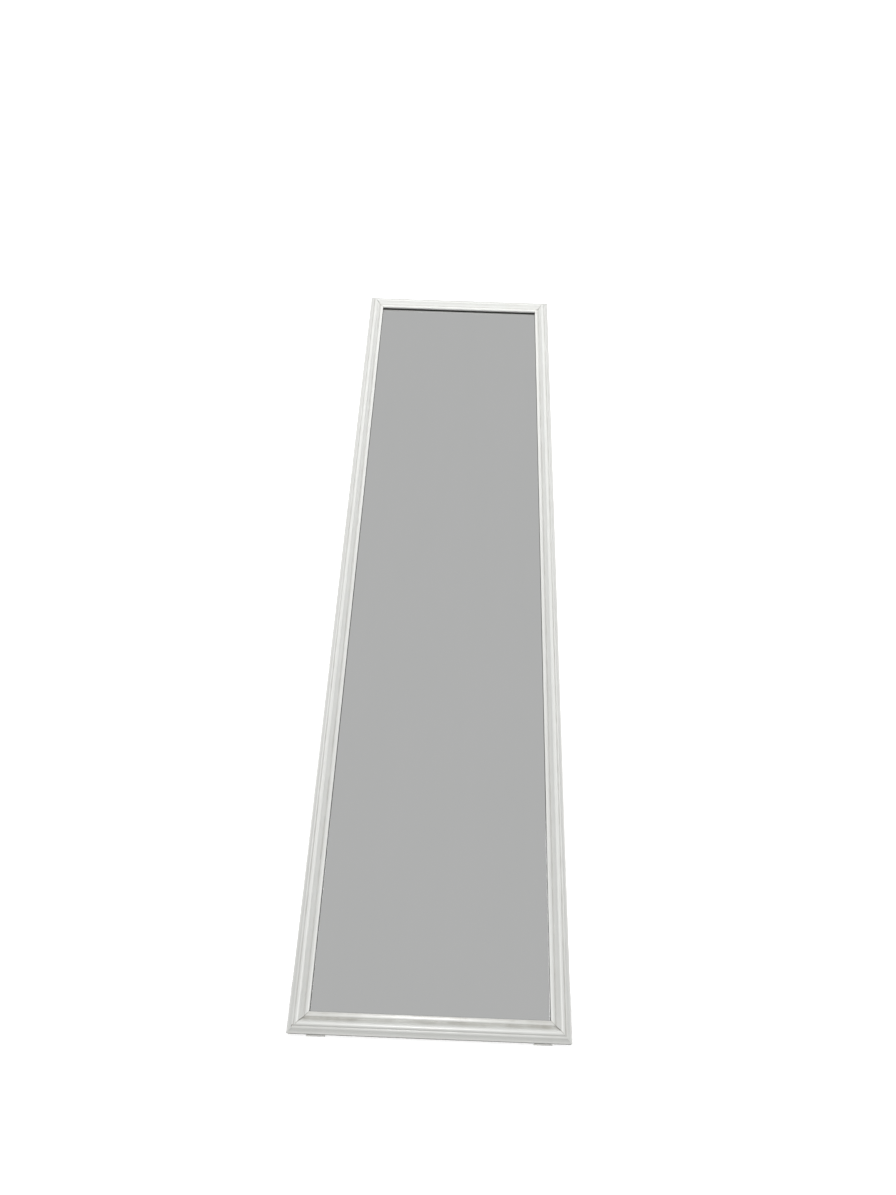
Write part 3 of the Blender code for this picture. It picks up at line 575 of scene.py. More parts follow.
def countersunk(size, clearance=0.0, dome=0.25 * MM):
    """The profile of a countersunk screw, its slightly domed head flush with height 0, or of its hole."""
    head_radius, head_height, shank_radius, length = size
    head_radius, shank_radius, length = head_radius + clearance, shank_radius + clearance, length + clearance
    profile = [
        (0, -length),
        (0.4 * shank_radius, -length),
        (shank_radius, -length + 2 * shank_radius),
        (shank_radius, -head_height),
        (head_radius, -0.2 * head_height),
    ]
    if clearance:
        return profile + [(head_radius, 2 * head_height), (0, 2 * head_height)]
    rise = [(head_radius * math.cos(a), dome * math.sin(a)) for a in (0.0, 0.25, 0.5, 0.8, 1.1, 1.35)]
    return profile + rise + [(0, dome)]


def crossed(profile, span, width, depth, top=0.0):
    """A turned screw with a cross recess that narrows down from the height top."""
    s, w = span / 2, width / 2
    at_floor, widening = 0.55, 2.2  # the cross's scale at its floor, and its growth up to the tool's top
    cross = []
    for quarter in range(4):
        c, d = math.cos(quarter * math.pi / 2), math.sin(quarter * math.pi / 2)
        cross += [(x * c - y * d, x * d + y * c) for x, y in ((s, -w), (s, w), (w, w))]
    cross = [(at_floor * x, at_floor * y) for x, y in cross]
    tool = prism("recess", cross, top - depth, top + 0.5 * depth, "Z", widening)
    return boolean(turned("screw", profile), [(tool, UNMOVED)])


SOCKET = prism("socket", arc((0, 0), 2.3 * MM, 0, 300, 5), -1.9 * MM, 2 * MM, "Z")
SCREW_MESHES = {
    LEAF_SCREW: crossed(countersunk(LEAF_SCREW), 3.4 * MM, 0.9 * MM, 1 * MM),
    BATTEN_SCREW: crossed(countersunk(BATTEN_SCREW), 4.6 * MM, 1.1 * MM, 1.7 * MM),
    JOINT_SCREW: boolean(turned("screw", countersunk(JOINT_SCREW, dome=0.1 * MM)), [(SOCKET, UNMOVED)]),
}
INTO_BACK = turn(-math.pi / 2)  # a screw driven forwards, from behind


def drive(node, size, place, spin, *targets):
    """Places a screw, turned on its axis by spin, and registers its hole in the pieces it goes through."""
    place = place @ turn(spin, "Z")
    hole(targets, turned("screw_hole", countersunk(size, GAP)), place)
    fine(node, SCREW_MESHES[size].copy(), place, SCREW_STEEL)


def frame_screws():
    """The screws of the batten and of the stay brackets."""
    low = HINGE_HEIGHT + JOINT_CLEARANCE
    bracket_height = HINGE_HEIGHT - STAY_PIVOT_DROP
    for side, sign in SIDES:
        stile = side + "_stile"
        for level, height, stagger in (
            ("lower", low + BATTEN_SCREW_INSET, 1),
            ("upper", low + BATTEN_HEIGHT - BATTEN_SCREW_INSET, -1),
        ):
            x = sign * (BATTEN_SCREW_X + stagger * BATTEN_SCREW_STAGGER)
            place = TILT @ shift(x, BATTEN_BACK, height) @ INTO_BACK
            name, spin = f"{side}_{level}_batten_screw", 0.4 * sign + 0.9 * stagger
            drive(name, BATTEN_SCREW, place, spin, "hinge_batten", stile)
        for level, offset, stagger in (("lower", -BRACKET_SCREW_Z, 1), ("upper", BRACKET_SCREW_Z, -1)):
            x = sign * (BRACKET_SCREW_X + stagger * BRACKET_SCREW_STAGGER)
            place = TILT @ shift(x, GAP + EAR_THICKNESS, bracket_height + offset) @ INTO_BACK
            name, spin = f"{side}_bracket_{level}_screw", 0.7 * sign - 0.5 * stagger
            drive(name, LEAF_SCREW, place, spin, side + "_stay_bracket", stile)


def leaf_screws():
    """Two screws for each hinge leaf. The upper leaves are on the batten, the lower ones on the leg."""
    surface = LEAF_THICKNESS - KNUCKLE_RADIUS
    for side, sign in SIDES:
        for leaf, base, up, wood in (
            ("upper", TILT @ shift(0, HINGE_BACK, HINGE_HEIGHT), 1, "hinge_batten"),
            ("lower", LEG, -1, "leg_top_crossbar"),
        ):
            for number, x in ((1, -LEAF_SCREW_X), (2, LEAF_SCREW_X)):
                place = base @ shift(sign * HINGE_OFFSET + x, surface, up * LEAF_SCREW_Z) @ INTO_BACK
                name, spin = f"{side}_{leaf}_leaf_screw_{number}", 0.6 * number + 0.8 * up * sign
                drive(name, LEAF_SCREW, place, spin, f"{side}_hinge_{leaf}_leaf", wood)


def joint_screws():
    """The hexagon-socket screw at each end of both crossbars."""
    for crossbar, height in (
        ("leg_top_crossbar", -JOINT_CLEARANCE - TOP_CROSSBAR_HEIGHT / 2),
        ("leg_low_crossbar", -LOW_CROSSBAR_DROP - LOW_CROSSBAR_HEIGHT / 2),
    ):
        for side, sign in SIDES:
            place = LEG @ shift(sign * LEG_WIDTH / 2, BAR_MIDDLE, height) @ turn(sign * math.pi / 2, "Y")
            drive(f"{side}_{crossbar}_screw", JOINT_SCREW, place, 0.35 * sign, side + "_leg_bar", crossbar)


# ---- moulded frame ----


def moulding(shade_height):
    """The rail's section, from the back's outer corner over the face, as (distance in, height) points."""

    def in_mm(*points):
        return [(across * MM, height * MM) for across, height in points]

    edge, arris = 1.0 * MM, 0.7 * MM
    ridge = 2.1 * MM
    outer_slope = in_mm((1.7, 15.7), (3.0, 16.5), (4.6, 17.9), (6.0, 19.4))
    step = in_mm((6.7, 19.95), (7.6, 20.3), (8.5, 20.5), (9.1, 20.5))
    cove = in_mm((16.7, 21.1), (18.0, 19.3), (19.6, 17.4), (21.0, 15.9))
    quirk = in_mm((21.4, 15.0), (21.8, 14.8))
    lip = in_mm((22.4, 15.3), (23.2, 15.75), (24.4, 16.0), (26.0, 16.15), (27.4, 16.2))
    face = arc((edge, 14.3 * MM), edge, 180, 110, 5) + outer_slope + step
    face += arc((13.3 * MM, FRAME_DEPTH - ridge), (3.5 * MM, ridge), 172, 42, 22)
    face += cove + quirk + lip + arc((FACE_WIDTH - arris, 16.0 * MM - arris), arris, 80, 0, 5)
    # The sight wall, painted dark as shade below its shade height.
    shaded_wall = [(FACE_WIDTH, shade_height), (FACE_WIDTH, REBATE_DEPTH)]
    back = [(SOLID_WIDTH, REBATE_DEPTH), (SOLID_WIDTH, 0)]
    return arc((edge, edge), edge, 270, 180, 4) + softened(face) + shaded_wall + back


def softened(line, spacing=0.12 * MM):
    """An open line with its corners cut twice, as lacquer fills them, and no crowded points."""
    for _ in range(2):
        cut = [line[0]]
        for (ax, ay), (bx, by) in zip(line, line[1:]):
            for a, b in ((0.75, 0.25), (0.25, 0.75)):
                point = (a * ax + b * bx, a * ay + b * by)
                if math.dist(point, cut[-1]) > spacing:
                    cut.append(point)
        line = cut + [line[-1]]
    return line


def dust_and_shade(across, height, by_ridge, in_quirk, on_cove, on_lip):
    """How much dust and painted shade darken a point of the face."""
    if height < REBATE_DEPTH + 1 * MM:
        return 0.0
    # Bands of dust and painted shade across the face: by the ridge, in the quirk, on the cove, on the lip.
    places = (
        (8.9 * MM, 0.8 * MM, by_ridge),
        (21.6 * MM, 1.1 * MM, in_quirk),
        (19.9 * MM, 2.9 * MM, on_cove),
        (26.5 * MM, 2.2 * MM, on_lip),
    )
    return max(depth * math.exp(-(((across - at) / width) ** 2)) for at, width, depth in places)


def on_inner_half(across, height):
    """Whether a point of the section is on the face, between the ridge and the glass."""
    return across > INNER_HALF and height > REBATE_DEPTH + 0.1 * MM


def shrunk(section, amounts):
    """The section with each point moved inwards by its amount."""
    n = len(section)
    moved = []
    for i, (across, height) in enumerate(section):
        ahead, behind = Vector(section[(i + 1) % n]), Vector(section[i - 1])
        along = (ahead - behind).normalized()
        moved.append((across + along.y * amounts[i], height - along.x * amounts[i]))
    return moved


def chip_share(across, run):
    """How deep in the chip a point is, from 0 to 1. The chip lies at 60 degrees to the rail's width."""
    a, b = across - CHIP_ACROSS, run - CHIP_UP
    along, aside = 0.5 * a + 0.87 * b, 0.87 * a - 0.5 * b
    return max(0.0, 1 - (along / CHIP_LENGTH) ** 2 - (aside / CHIP_WIDTH) ** 2)


def rail_mesh(name, length, shade_height, dust_and_shade_levels, chipped=False):
    """A mitred rail along X from its outer corner, its inside edge towards +Z and its face towards -Y."""
    section = moulding(shade_height)
    n = len(section)
    # The lacquer has bridged the outer half of each mitre, and left a fine line on the inner half.
    eased_end = shrunk(section, [MITRE_LINE if on_inner_half(*point) else MITRE_BRIDGED for point in section])
    half_gap = MITRE_GAP / 2 * math.sqrt(2)
    rings = [(False, half_gap, eased_end), (False, half_gap + MITRE_EASE, section)]
    rings += [(True, half_gap + MITRE_EASE, section), (True, half_gap, eased_end)]
    points = []
    for far, offset, ring in rings:
        for across, height in ring:
            x = length - across - offset if far else across + offset
            points.append((x, -height, across))
    bands = [tuple(range(n)), tuple(range(len(points) - n, len(points)))]
    for ring in range(len(rings) - 1):
        here = ring * n
        bands += [(here + i, here + (i + 1) % n, here + n + (i + 1) % n, here + n + i) for i in range(n)]
    mesh = mesh_from(name, points, bands)
    if chipped:
        mesh = with_chip(mesh, length)
    mark_rail(mesh, length, dust_and_shade_levels, chipped)
    return mesh


def with_chip(mesh, length):
    """The mesh with close cuts round the chip, and the chip pressed in."""
    bm = bmesh.new()
    bm.from_mesh(mesh)
    steps, reach = 24, 2.6 * CHIP_LENGTH
    for i in range(steps + 1):
        x = length - CHIP_UP + (i / steps - 0.5) * reach
        everything = bm.verts[:] + bm.edges[:] + bm.faces[:]
        bmesh.ops.bisect_plane(bm, geom=everything, plane_co=(x, 0, 0), plane_no=(1, 0, 0))
    for vertex in bm.verts:
        if vertex.co.y < -REBATE_DEPTH:
            vertex.co.y += CHIP_DEPTH * chip_share(vertex.co.z, length - vertex.co.x)
    return mesh_of(bm, mesh.name)


def mark_rail(mesh, length, dust_and_shade_levels, chipped):
    """Writes how dark from grime and painted shade, and how chipped, a rail's points are. Its levels are
    dust's last four.
    """
    grime_and_shade = mesh.attributes.new("grime_and_shade", "FLOAT", "POINT")
    chip = mesh.attributes.new("chip", "FLOAT", "POINT")
    for i, vertex in enumerate(mesh.vertices):
        across, height, run = vertex.co.z, -vertex.co.y, length - vertex.co.x
        in_mitre = min(run, length - run) - across < 0.5 * MITRE_EASE and on_inner_half(across, height)
        grime_and_shade.data[i].value = MITRE_GRIME if in_mitre else dust_and_shade(across, height, *dust_and_shade_levels)
        on_face = chipped and height > REBATE_DEPTH
        chip.data[i].value = min(1.0, 1.6 * chip_share(across, run)) if on_face else 0.0


def is_painted_shade(centre, shade_height, creep):
    """Whether a face is painted dark as shade: in the rebate below the shade height, or on the arris as far as
    the creep reaches.
    """
    near = 0.01 * MM
    in_rebate = centre.z > SOLID_WIDTH - near and -centre.y < shade_height
    return in_rebate or centre.z > FACE_WIDTH + near - creep


def v_nail_slots():
    """Slots in the back of the mitres, where the CAD's V nails sit."""
    t, leg = (NAIL_THICKNESS + GAP) / 2, NAIL_LEG + GAP / 2
    outline = [(t, t), (-leg, t), (-leg, -t), (-t, -t), (-t, -leg), (t, -leg)]
    slot = prism("slot", outline, -NAIL_DEPTH - GAP, NAIL_DEPTH, "Z")
    facing_back = turn(-math.pi / 2) @ turn(math.pi, "Z")
    x, low, high = MIRROR_WIDTH / 2 - NAIL_INSET, NAIL_INSET, MIRROR_HEIGHT - NAIL_INSET
    for level, rail, side, location, degrees in (
        ("lower", "bottom_rail", "right", (x, 0, low), 0),
        ("upper", "top_rail", "right", (x, 0, high), -90),
        ("upper", "top_rail", "left", (-x, 0, high), -180),
        ("lower", "bottom_rail", "left", (-x, 0, low), -270),
    ):
        place = TILT @ shift(*location) @ turn(math.radians(degrees), "Y") @ facing_back
        hole((rail, side + "_stile"), slot, place)
        keep(f"{level}_{side}_v_nail", SPRING_STEEL)


def retaining_points():
    """Slots in the rebate's wall, where the CAD's retaining points sit."""
    w, inside = POINT_WIDTH / 2 + GAP / 2, 0.6 * POINT_LENGTH
    back = inside - POINT_LENGTH - GAP / 2
    outline = [(inside, -0.6 * w), (inside, 0.6 * w), (0, w), (back, 0), (0, -w)]
    low = BOARD_BACK + GAP
    slot = prism("slot", outline, low - GAP / 2, low + POINT_THICKNESS + GAP / 2, "Y")
    wall = MIRROR_WIDTH / 2 - SOLID_WIDTH
    places = {
        f"{side}_{level}": (side + "_stile", (sign * wall, 0, share * MIRROR_HEIGHT), 90 + 90 * sign)
        for side, sign in SIDES
        for level, share in (("low", 0.25), ("high", 0.75))
    }
    places["bottom"] = ("bottom_rail", (0, 0, SOLID_WIDTH), -90)
    places["top"] = ("top_rail", (0, 0, MIRROR_HEIGHT - SOLID_WIDTH), 90)
    for where, (rail, location, degrees) in places.items():
        hole([rail], slot, TILT @ shift(*location) @ turn(math.radians(degrees), "Y"))
        keep(where + "_retaining_point", SPRING_STEEL)


def rails():
    """The four mitred rails of the moulded frame."""
    half, height = MIRROR_WIDTH / 2, MIRROR_HEIGHT
    for node, length, corner, degrees in (
        ("bottom_rail", MIRROR_WIDTH, (-half, 0, 0), 0),
        ("right_stile", MIRROR_HEIGHT, (half, 0, 0), -90),
        ("top_rail", MIRROR_WIDTH, (half, 0, height), 180),
        ("left_stile", MIRROR_HEIGHT, (-half, 0, height), 90),
    ):
        place = TILT @ shift(*corner) @ turn(math.radians(degrees), "Y")
        # Levels of dust and painted shade: higher near the glass on the bottom rail.
        dust_and_shade_levels = BOTTOM_RAIL_DUST_AND_SHADE if node == "bottom_rail" else OTHER_RAIL_DUST_AND_SHADE
        shade_height = SHADE_HEIGHT if length == MIRROR_WIDTH else STILE_SHADE_HEIGHT
        creep = SHADE_CREEP if node == "bottom_rail" else 0.0
        mesh = rail_mesh(node, length, shade_height, dust_and_shade_levels, chipped=node == "left_stile")
        rail = fine(node, mesh, place, LACQUER, SHADE_EDGE)
        # Faces on the sight wall, and on the bottom rail's arris, get the painted shade.
        for face in rail.data.polygons:
            face.material_index = 1 if is_painted_shade(face.center, shade_height, creep) else 0


def panel(node, front, thickness, *materials):
    """A panel in the rebate."""
    inset = SOLID_WIDTH + PANEL_PLAY
    half = MIRROR_WIDTH / 2 - inset
    low, high = (-half, front, inset), (half, front + thickness, MIRROR_HEIGHT - inset)
    return fine(node, block(node, low, high, 0.4 * MM, 2), TILT, *materials)


def panels():
    """The silvered glass, which is returned, and the hardboard behind it."""
    glass = panel("mirror_glass", GLASS_FRONT, GLASS_THICKNESS, SILVER, GLASS_EDGE, MIRROR_PAINT)
    for face in glass.data.polygons:
        face.material_index = 0 if face.normal.y < -0.99 else 2 if face.normal.y > 0.99 else 1
    panel("backing_board", BOARD_FRONT, BOARD_THICKNESS, BOARD)
    return glass


def floor_line(y, slant, height, level=0.0):
    """Z in a frame turned by slant about X, its origin at this height, of the point above y at that level."""
    return (level - height - y * math.sin(slant)) / math.cos(slant)


def pads():
    """The rubber wedges under the frame and the rubber pads under the leg."""
    back, front = -FRAME_PAD_SETBACK, -FRAME_PAD_SETBACK - FRAME_PAD_LENGTH
    wedge = [(front, -GAP), (back, -GAP)]
    wedge += [(y, floor_line(y, -LEAN, TILT.translation.z)) for y in (back, front)]
    near, far = BAR_FRONT + PAD_MARGIN, BAR_BACK - PAD_MARGIN
    ends = ((near, LEG_PAD_THICKNESS), (far, LEG_PAD_THICKNESS), (far, 0), (near, 0))
    slanted = [(y, floor_line(y, LEG_OPENING - LEAN, LEG.translation.z, level)) for y, level in ends]
    reach = BAR_WIDTH / 2 - PAD_MARGIN
    for side, sign in SIDES:
        mesh = eased(prism("pad", wedge, -FRAME_PAD_WIDTH / 2, FRAME_PAD_WIDTH / 2, "X"), 0.4 * MM, 2)
        fine(side + "_frame_pad", mesh, TILT @ shift(sign * FRAME_PAD_X), RUBBER)
        mesh = eased(prism("pad", slanted, -reach, reach, "X"), 0.6 * MM, 3)
        fine(side + "_leg_pad", mesh, LEG @ shift(sign * (LEG_WIDTH - BAR_WIDTH) / 2), RUBBER)


# ---- batten, leg and hinges ----


def woodwork():
    """The hinge batten, and the easel leg's two bars and two crossbars."""
    low, half = HINGE_HEIGHT + JOINT_CLEARANCE, BATTEN_LENGTH / 2
    mesh = block("batten", (-half, GAP, low), (half, BATTEN_BACK, low + BATTEN_HEIGHT), WOOD_EDGE)
    fine("hinge_batten", mesh, TILT, WOOD_ACROSS)

    inner, top = LEG_WIDTH / 2 - BAR_WIDTH, -JOINT_CLEARANCE
    level = LEG_PAD_THICKNESS + GAP
    foot = [floor_line(y, LEG_OPENING - LEAN, LEG.translation.z, level) for y in (BAR_BACK, BAR_FRONT)]
    outline = [(BAR_FRONT, top), (BAR_BACK, top), (BAR_BACK, foot[0]), (BAR_FRONT, foot[1])]
    for side, sign in SIDES:
        low, high = sorted((sign * inner, sign * LEG_WIDTH / 2))
        fine(side + "_leg_bar", eased(prism("bar", outline, low, high, "X"), WOOD_EDGE), LEG, WOOD_UPRIGHT)

    reach = inner - GAP
    for node, high, height in (
        ("leg_top_crossbar", top, TOP_CROSSBAR_HEIGHT),
        ("leg_low_crossbar", -LOW_CROSSBAR_DROP, LOW_CROSSBAR_HEIGHT),
    ):
        mesh = block(node, (-reach, BAR_FRONT, high - height), (reach, BAR_BACK, high), WOOD_EDGE)
        fine(node, mesh, LEG, WOOD_ACROSS)


def leaf_mesh(first):
    """A hinge leaf on its axis along X. Its plate goes up, and it has every second knuckle from first."""
    pitch, half, front = LEAF_LENGTH / KNUCKLES, LEAF_LENGTH / 2, -KNUCKLE_RADIUS
    clear = KNUCKLE_RADIUS + 2 * GAP
    corner = 1.6 * MM
    outline = [(-half, clear), (half, clear)]
    for x, start in ((half - corner, 0), (corner - half, 90)):
        outline += arc((x, LEAF_HEIGHT - corner), corner, start, start + 90, 6)
    plate = eased(prism("leaf", outline, front, front + LEAF_THICKNESS, "Y"), 0.2 * MM, 2, 50)
    strap_top = clear + 0.5 * MM
    strap = [(front + LEAF_THICKNESS, strap_top), (front, strap_top)]
    curl = strap + arc((0, 0), KNUCKLE_RADIUS, 180, 450, 36)
    knuckles = []
    for i in range(first, KNUCKLES, 2):
        low = -half + i * pitch + KNUCKLE_SPACING / 2
        knuckle = eased(prism("knuckle", curl, low, low + pitch - KNUCKLE_SPACING, "X"), 0.15 * MM, 1, 60)
        knuckles.append((knuckle, UNMOVED))
    leaf = boolean(plate, knuckles, "UNION")
    bore = rod("bore", PIN_RADIUS + GAP, -LEAF_LENGTH, LEAF_LENGTH)
    return boolean(leaf, [(bore, turn(math.pi / 2, "Y"))])


def hinges():
    """Two butt hinges, each of an upper leaf on the batten, a lower leaf on the leg and a pin."""
    upper, lower = leaf_mesh(0), leaf_mesh(1)
    lower.transform(Matrix.Diagonal((-1, 1, -1, 1)))  # turned over, so that its plate goes down
    reach = LEAF_LENGTH / 2 + 0.5 * MM
    for side, sign in SIDES:
        on_frame = TILT @ shift(sign * HINGE_OFFSET, HINGE_BACK, HINGE_HEIGHT)
        fine(side + "_hinge_upper_leaf", upper.copy(), on_frame, HINGE_STEEL)
        fine(side + "_hinge_lower_leaf", lower.copy(), LEG @ shift(sign * HINGE_OFFSET), HINGE_STEEL)
        pin = rod("pin", PIN_RADIUS, -reach, reach, 0.3 * MM)
        fine(side + "_hinge_pin", pin, on_frame @ turn(math.pi / 2, "Y"), HINGE_STEEL)


# ---- stays ----


def bracket_mesh(sign):
    """A bent steel angle: a base on the stile's back, and an ear that stands off it with a round end."""
    inner = 0.8 * MM  # radius inside the bend
    outer = inner + EAR_THICKNESS
    x, y = EAR_INNER_FACE + outer, GAP + outer
    spare = 1 * MM  # by which the bent strip is too long, and the tools that trim it reach past it
    ear_end = STAY_AXIS_BACK + EAR_RADIUS + spare
    bent = [(EAR_INNER_FACE, ear_end), *arc((x, y), outer, 180, 270, 8)]
    bent += [(BRACKET_REACH, GAP), (BRACKET_REACH, GAP + EAR_THICKNESS)]
    bent += [*arc((x, y), inner, 270, 180, 6), (EAR_INNER_FACE + EAR_THICKNESS, ear_end)]
    half, foot = BRACKET_HEIGHT / 2, BRACKET_HEIGHT / 2 - 3 * MM
    strip = prism("bracket", [(sign * a, b) for a, b in bent], -half, half, "Z")
    side_view = [(-spare, -half), (y, -half), (y, -foot)]
    side_view += arc((STAY_AXIS_BACK, 0), EAR_RADIUS, -60, 60, 24)
    side_view += [(y, foot), (y, half), (-spare, half)]
    corner, inside = 2.5 * MM, EAR_INNER_FACE - spare
    low, high = sorted((sign * inside, sign * (BRACKET_REACH + spare)))
    back_view = [(inside, -half), *arc((BRACKET_REACH - corner, corner - half), corner, 270, 360, 8)]
    back_view += [*arc((BRACKET_REACH - corner, half - corner), corner, 0, 90, 8), (inside, half)]
    back_view = [(sign * a, b) for a, b in back_view]
    for tool in (
        prism("side_view", side_view, low, high, "X"),
        prism("back_view", back_view, -spare, ear_end + spare, "Y"),
    ):
        strip = boolean(strip, [(tool, UNMOVED)], "INTERSECT")
    return strip


def stays():
    """Each side's bracket, rivet and slotted stay bar."""
    pivot = TILT @ shift(0, STAY_AXIS_BACK, HINGE_HEIGHT - STAY_PIVOT_DROP)
    for side, sign in SIDES:
        across = turn(sign * math.pi / 2, "Y")
        bore = rod("bore", PIVOT_SHANK_RADIUS + GAP, STAY_INNER_FACE - 1 * MM, EAR_INNER_FACE + 3 * MM)
        hole([side + "_stay_bracket"], bore, pivot @ across)
        bracket = bracket_mesh(sign)
        fine(side + "_stay_bracket", bracket, TILT @ shift(z=HINGE_HEIGHT - STAY_PIVOT_DROP), STAY_STEEL)
        fine(side + "_stay_rivet", rivet_mesh(), pivot @ across, SCREW_STEEL)
        hole([side + "_stay_bar"], bore, STAY @ across)
        fine(side + "_stay_bar", stay_mesh(sign), STAY, STAY_STEEL)


def rivet_mesh():
    """A shouldered rivet along Z, with a wide domed head inside and a smaller closed end outside."""
    head, height = 4.5 * MM, 1.2 * MM
    inner, outer = STAY_INNER_FACE - GAP, EAR_INNER_FACE + EAR_THICKNESS + GAP
    domed, closed = (0.2, 0.45, 0.7, 0.95, 1.2, 1.4, 1.57), (0, 0.3, 0.6, 0.9, 1.2, 1.4)
    dome = [(head * math.sin(a), inner - height * math.cos(a)) for a in domed]
    close = [(0.8 * head * math.cos(a), outer + height * math.sin(a)) for a in closed]
    shank = [(PIVOT_SHANK_RADIUS, inner), (PIVOT_SHANK_RADIUS, outer)]
    return turned("rivet", [(0, inner - height), *dome, *shank, *close, (0, outer + height)])


def stay_mesh(sign):
    """A flat bar with round ends, eased edges and a slot for the stop screw near its foot."""
    play = SLOT_RADIUS - STOP_SHANK_RADIUS
    slot_top = stay_reach(0)[0] + play - SLOT_OVERRUN
    slot_foot = stay_reach(LEG_OPENING)[0] - play + GAP
    radius = STAY_WIDTH / 2
    foot = slot_foot + SLOT_RADIUS + 0.5 * radius
    low, high = sorted((sign * STAY_INNER_FACE, sign * STAY_OUTER_FACE))
    bar = eased(prism("stay", capsule(0, -foot, radius), low, high, "X"), 0.25 * MM, 2, 50)
    reach = 2 * STAY_OUTER_FACE
    slot = prism("slot", capsule(-slot_top, -slot_foot, SLOT_RADIUS), -reach, reach, "X")
    return boolean(bar, [(slot, UNMOVED)])


def stop_screws():
    """The shouldered screws in the leg's side bars that slide in the stays' slots."""
    collar, head, thread = 5 * MM, 6 * MM, 2 * MM  # radii
    depth, ease = 18 * MM, 0.2 * MM
    wood = LEG_WIDTH / 2  # the bar's outer side
    tip, seat, shoulder = wood - depth, wood + GAP, STAY_INNER_FACE - GAP
    face, top = STAY_OUTER_FACE + GAP, STAY_OUTER_FACE + 2.2 * MM
    rim, crown = 0.7 * MM, 1.2 * MM
    pan = [(head * math.cos(a) ** 0.5, face + rim + crown * math.sin(a)) for a in (0, 0.3, 0.6, 0.9, 1.2)]
    profile = [
        (0, tip),
        (0.4 * thread, tip),
        (thread, tip + 2 * thread),
        (thread, seat),
        (collar - ease, seat),
        (collar, seat + ease),
        (collar, shoulder - ease),
        (collar - ease, shoulder),
        (STOP_SHANK_RADIUS, shoulder),
        (STOP_SHANK_RADIUS, face),
        (head - ease, face),
        *pan,
        (0, top - 0.05 * MM),
    ]
    for side, sign in SIDES:
        place = LEG @ shift(0, BAR_MIDDLE, -STOP_SCREW_DROP) @ turn(sign * math.pi / 2, "Y")
        mesh = crossed(profile, 5.4 * MM, 1.2 * MM, 1.3 * MM, top)
        hole([side + "_leg_bar"], rod("stop_hole", thread + GAP, tip - GAP, wood + thread), place)
        fine(side + "_stop_screw", mesh, place @ turn(0.5 * sign, "Z"), SCREW_STEEL)


# ---- stage ----

# The camera looks up at the mirror from near its foot.
CAMERA_ACROSS = 13.4 * MM
CAMERA_OUT = 1352.4 * MM  # in front of the moulding's highest line
CAMERA_BELOW = 85.1 * MM  # below the frame's underside, along the mirror
CAMERA_UPWARD = math.radians(30.50)  # from the line square to the mirror
CAMERA_ASIDE = math.radians(0.50)  # to the left
CAMERA_ROLL = math.radians(2.21)
CAMERA_LENS = 26.2

BACKDROP = 1.7  # radiance of the pure white behind
SURROUND = 0.495  # radiance that the glass and the gloss of the lacquer see
AMBIENT = 0.21  # radiance that lights the matt surfaces
FLOOR_NEAR, FLOOR_FAR = 0.35, 1.0  # distances from the middle between which the floor fades into the backdrop
FLOOR_CLEARNESS = 0.48  # how much of the white backdrop shows through the floor in the middle


def camera():
    """The camera, placed from the mirror."""
    at = TILT @ Vector((CAMERA_ACROSS, -FRAME_DEPTH - CAMERA_OUT, -CAMERA_BELOW))
    ahead = (TILT @ turn(CAMERA_ASIDE, "Z") @ turn(CAMERA_UPWARD)).to_3x3() @ Vector((0, 1, 0))
    right = ahead.cross((0, 0, 1)).normalized()
    axes = Matrix((right, right.cross(ahead), -ahead)).transposed()
    data = bpy.data.cameras.new("camera")
    data.lens, data.sensor_width = CAMERA_LENS, 36
    made = new_object("camera", data)
    made.matrix_world = Matrix.Translation(at) @ axes.to_4x4() @ turn(CAMERA_ROLL, "Z")
    bpy.context.scene.camera = made


def lamp(name, lit, at, towards, width, height, watts, seen_by_gloss=True, seen_by_matt=True):
    """A soft rectangular lamp that the camera doesn't see. lit is the collection that says what it lights."""
    data = bpy.data.lights.new(name, "AREA")
    data.shape, data.size, data.size_y, data.energy = "RECTANGLE", width, height, watts
    made = new_object(name, data)
    made.location = at
    made.rotation_euler = (Vector(towards) - Vector(at)).to_track_quat("-Z", "Y").to_euler()
    made.visible_camera = False
    made.visible_glossy, made.visible_diffuse = seen_by_gloss, seen_by_matt
    made.light_linking.receiver_collection = lit


def all_but(name, *unlit):
    """A collection that lets a lamp light everything except these."""
    made = bpy.data.collections.new(name)
    for obj in unlit:
        made.objects.link(obj)
    for entry in made.collection_objects:
        entry.light_linking.link_state = "EXCLUDE"
    return made


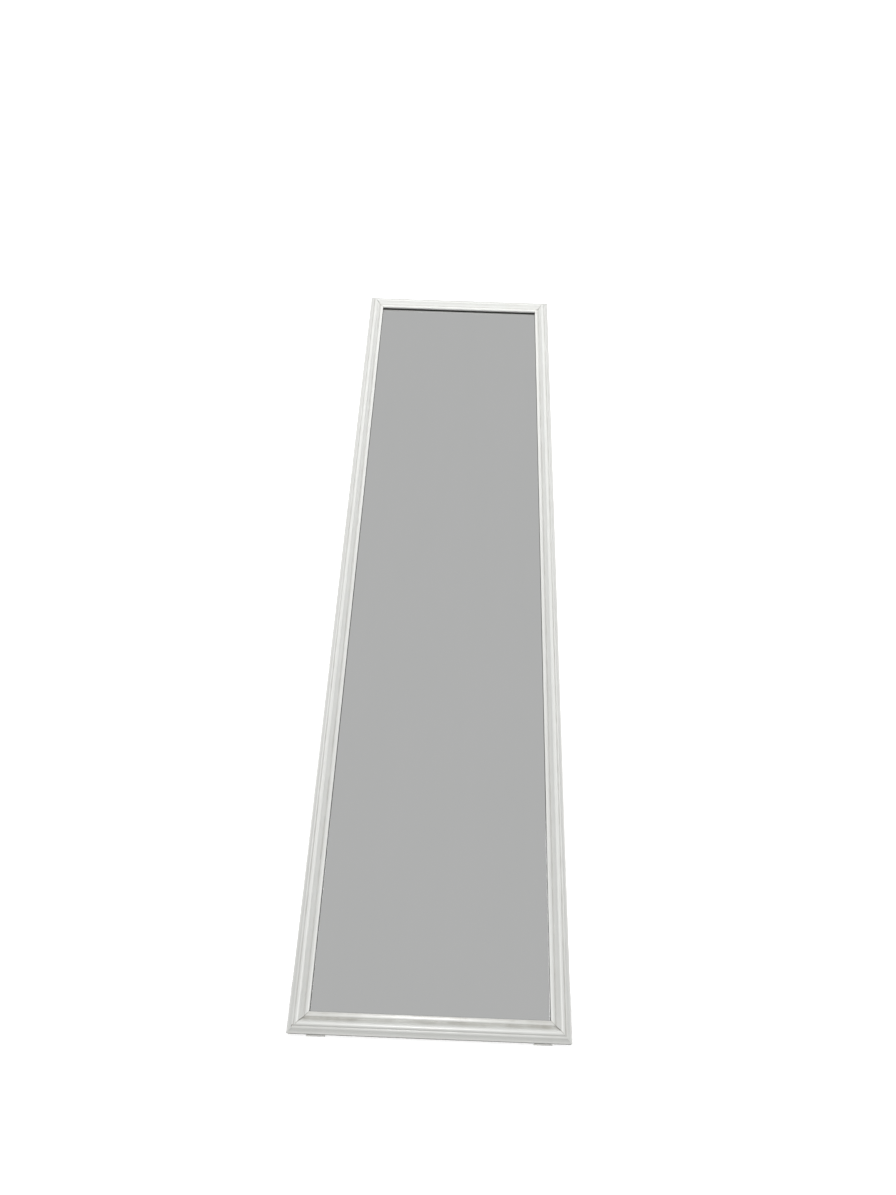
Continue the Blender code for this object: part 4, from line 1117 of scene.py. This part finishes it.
def lights(glass, ground):
    """Soft lamps in front, above, low down, by the floor, on both sides and behind.

    None lights the glass, which shows only the plain grey of the room. Those behind don't light the floor.
    """
    lit = all_but("lit_from_in_front", glass)
    lamp("front_box", lit, (0.15, -2.8, 0.75), (0, -0.1, 0.75), 1.3, 1.0, 14.5, seen_by_gloss=False)
    lamp("front_strip", lit, (-0.08, -2.8, 0.9), (0, -0.1, 0.8), 0.3, 1.6, 14)
    lamp("head_lamp", lit, (0, -0.9, 1.75), (0, 0.1, 1.75), 2.2, 0.5, 8, seen_by_gloss=False)
    lamp("low_lamp", lit, (-0.06, -2.6, 0.30), (0, -0.2, 0.03), 0.26, 0.25, 11, seen_by_matt=False)
    lamp("floor_bounce", lit, (0, -1.0, 0.03), (0, -0.19, 0.01), 1.0, 0.05, 0.6, seen_by_gloss=False)
    for side, sign in SIDES:
        lamp(side + "_soft_box", lit, (sign * 1.6, -1.0, 1.3), (0, 0, 1.3), 0.4, 1.3, 14)
    lit = all_but("lit_from_behind", glass, ground)
    lamp("back_box", lit, (0.7, 2.6, 1.5), (0, 0.1, 0.8), 1.6, 1.6, 40, seen_by_gloss=False)
    lamp("back_strip", lit, (-1.2, 1.8, 1.0), (0, 0.1, 0.8), 0.4, 1.6, 14)


def surroundings():
    """White behind, a mid grey for the glass to reflect, and soft light from all round."""
    world = bpy.data.worlds.new("studio")
    bpy.context.scene.world = world
    world.use_nodes = True
    tree = world.node_tree
    ray = add(tree, "LightPath").outputs
    seen = blend(tree, ray["Is Diffuse Ray"], [SURROUND] * 3, [AMBIENT] * 3)
    seen = blend(tree, ray["Is Camera Ray"], seen, [BACKDROP] * 3)
    tree.links.new(seen, tree.nodes["Background"].inputs["Color"])


def floor():
    """A plain pale floor, partly clear, that fades into the white backdrop and only takes a soft shadow."""
    bm = bmesh.new()
    bmesh.ops.create_circle(bm, cap_ends=True, segments=96, radius=FLOOR_FAR)
    ground = new_object("floor", mesh_of(bm, "floor"))
    pale = (0.86, 0.86, 0.85, 1)
    made, tree = new_material("pale_floor", Base_Color=pale, Roughness=0.9, Specular_IOR_Level=0.1)
    distance = add(tree, "VectorMath", {0: coordinates(tree)}, operation="LENGTH").outputs["Value"]
    fade = {"Value": distance, "From Min": FLOOR_NEAR, "From Max": FLOOR_FAR, "To Min": FLOOR_CLEARNESS}
    gone = add(tree, "MapRange", fade, interpolation_type="SMOOTHSTEP").outputs["Result"]
    seen, clear = tree.nodes["Principled BSDF"].outputs[0], add(tree, "BsdfTransparent").outputs[0]
    mixed = add(tree, "MixShader", {0: gone, 1: seen, 2: clear})
    tree.links.new(mixed.outputs[0], tree.nodes["Material Output"].inputs["Surface"])
    ground.data.materials.append(made)
    return ground


# Screws come first, because they register the holes of the pieces that they go through.
frame_screws()
leaf_screws()
joint_screws()
stop_screws()
v_nail_slots()
retaining_points()
rails()
glass = panels()
pads()
woodwork()
hinges()
stays()

camera()
surroundings()
lights(glass, floor())
bpy.context.scene.view_settings.view_transform = "Standard"
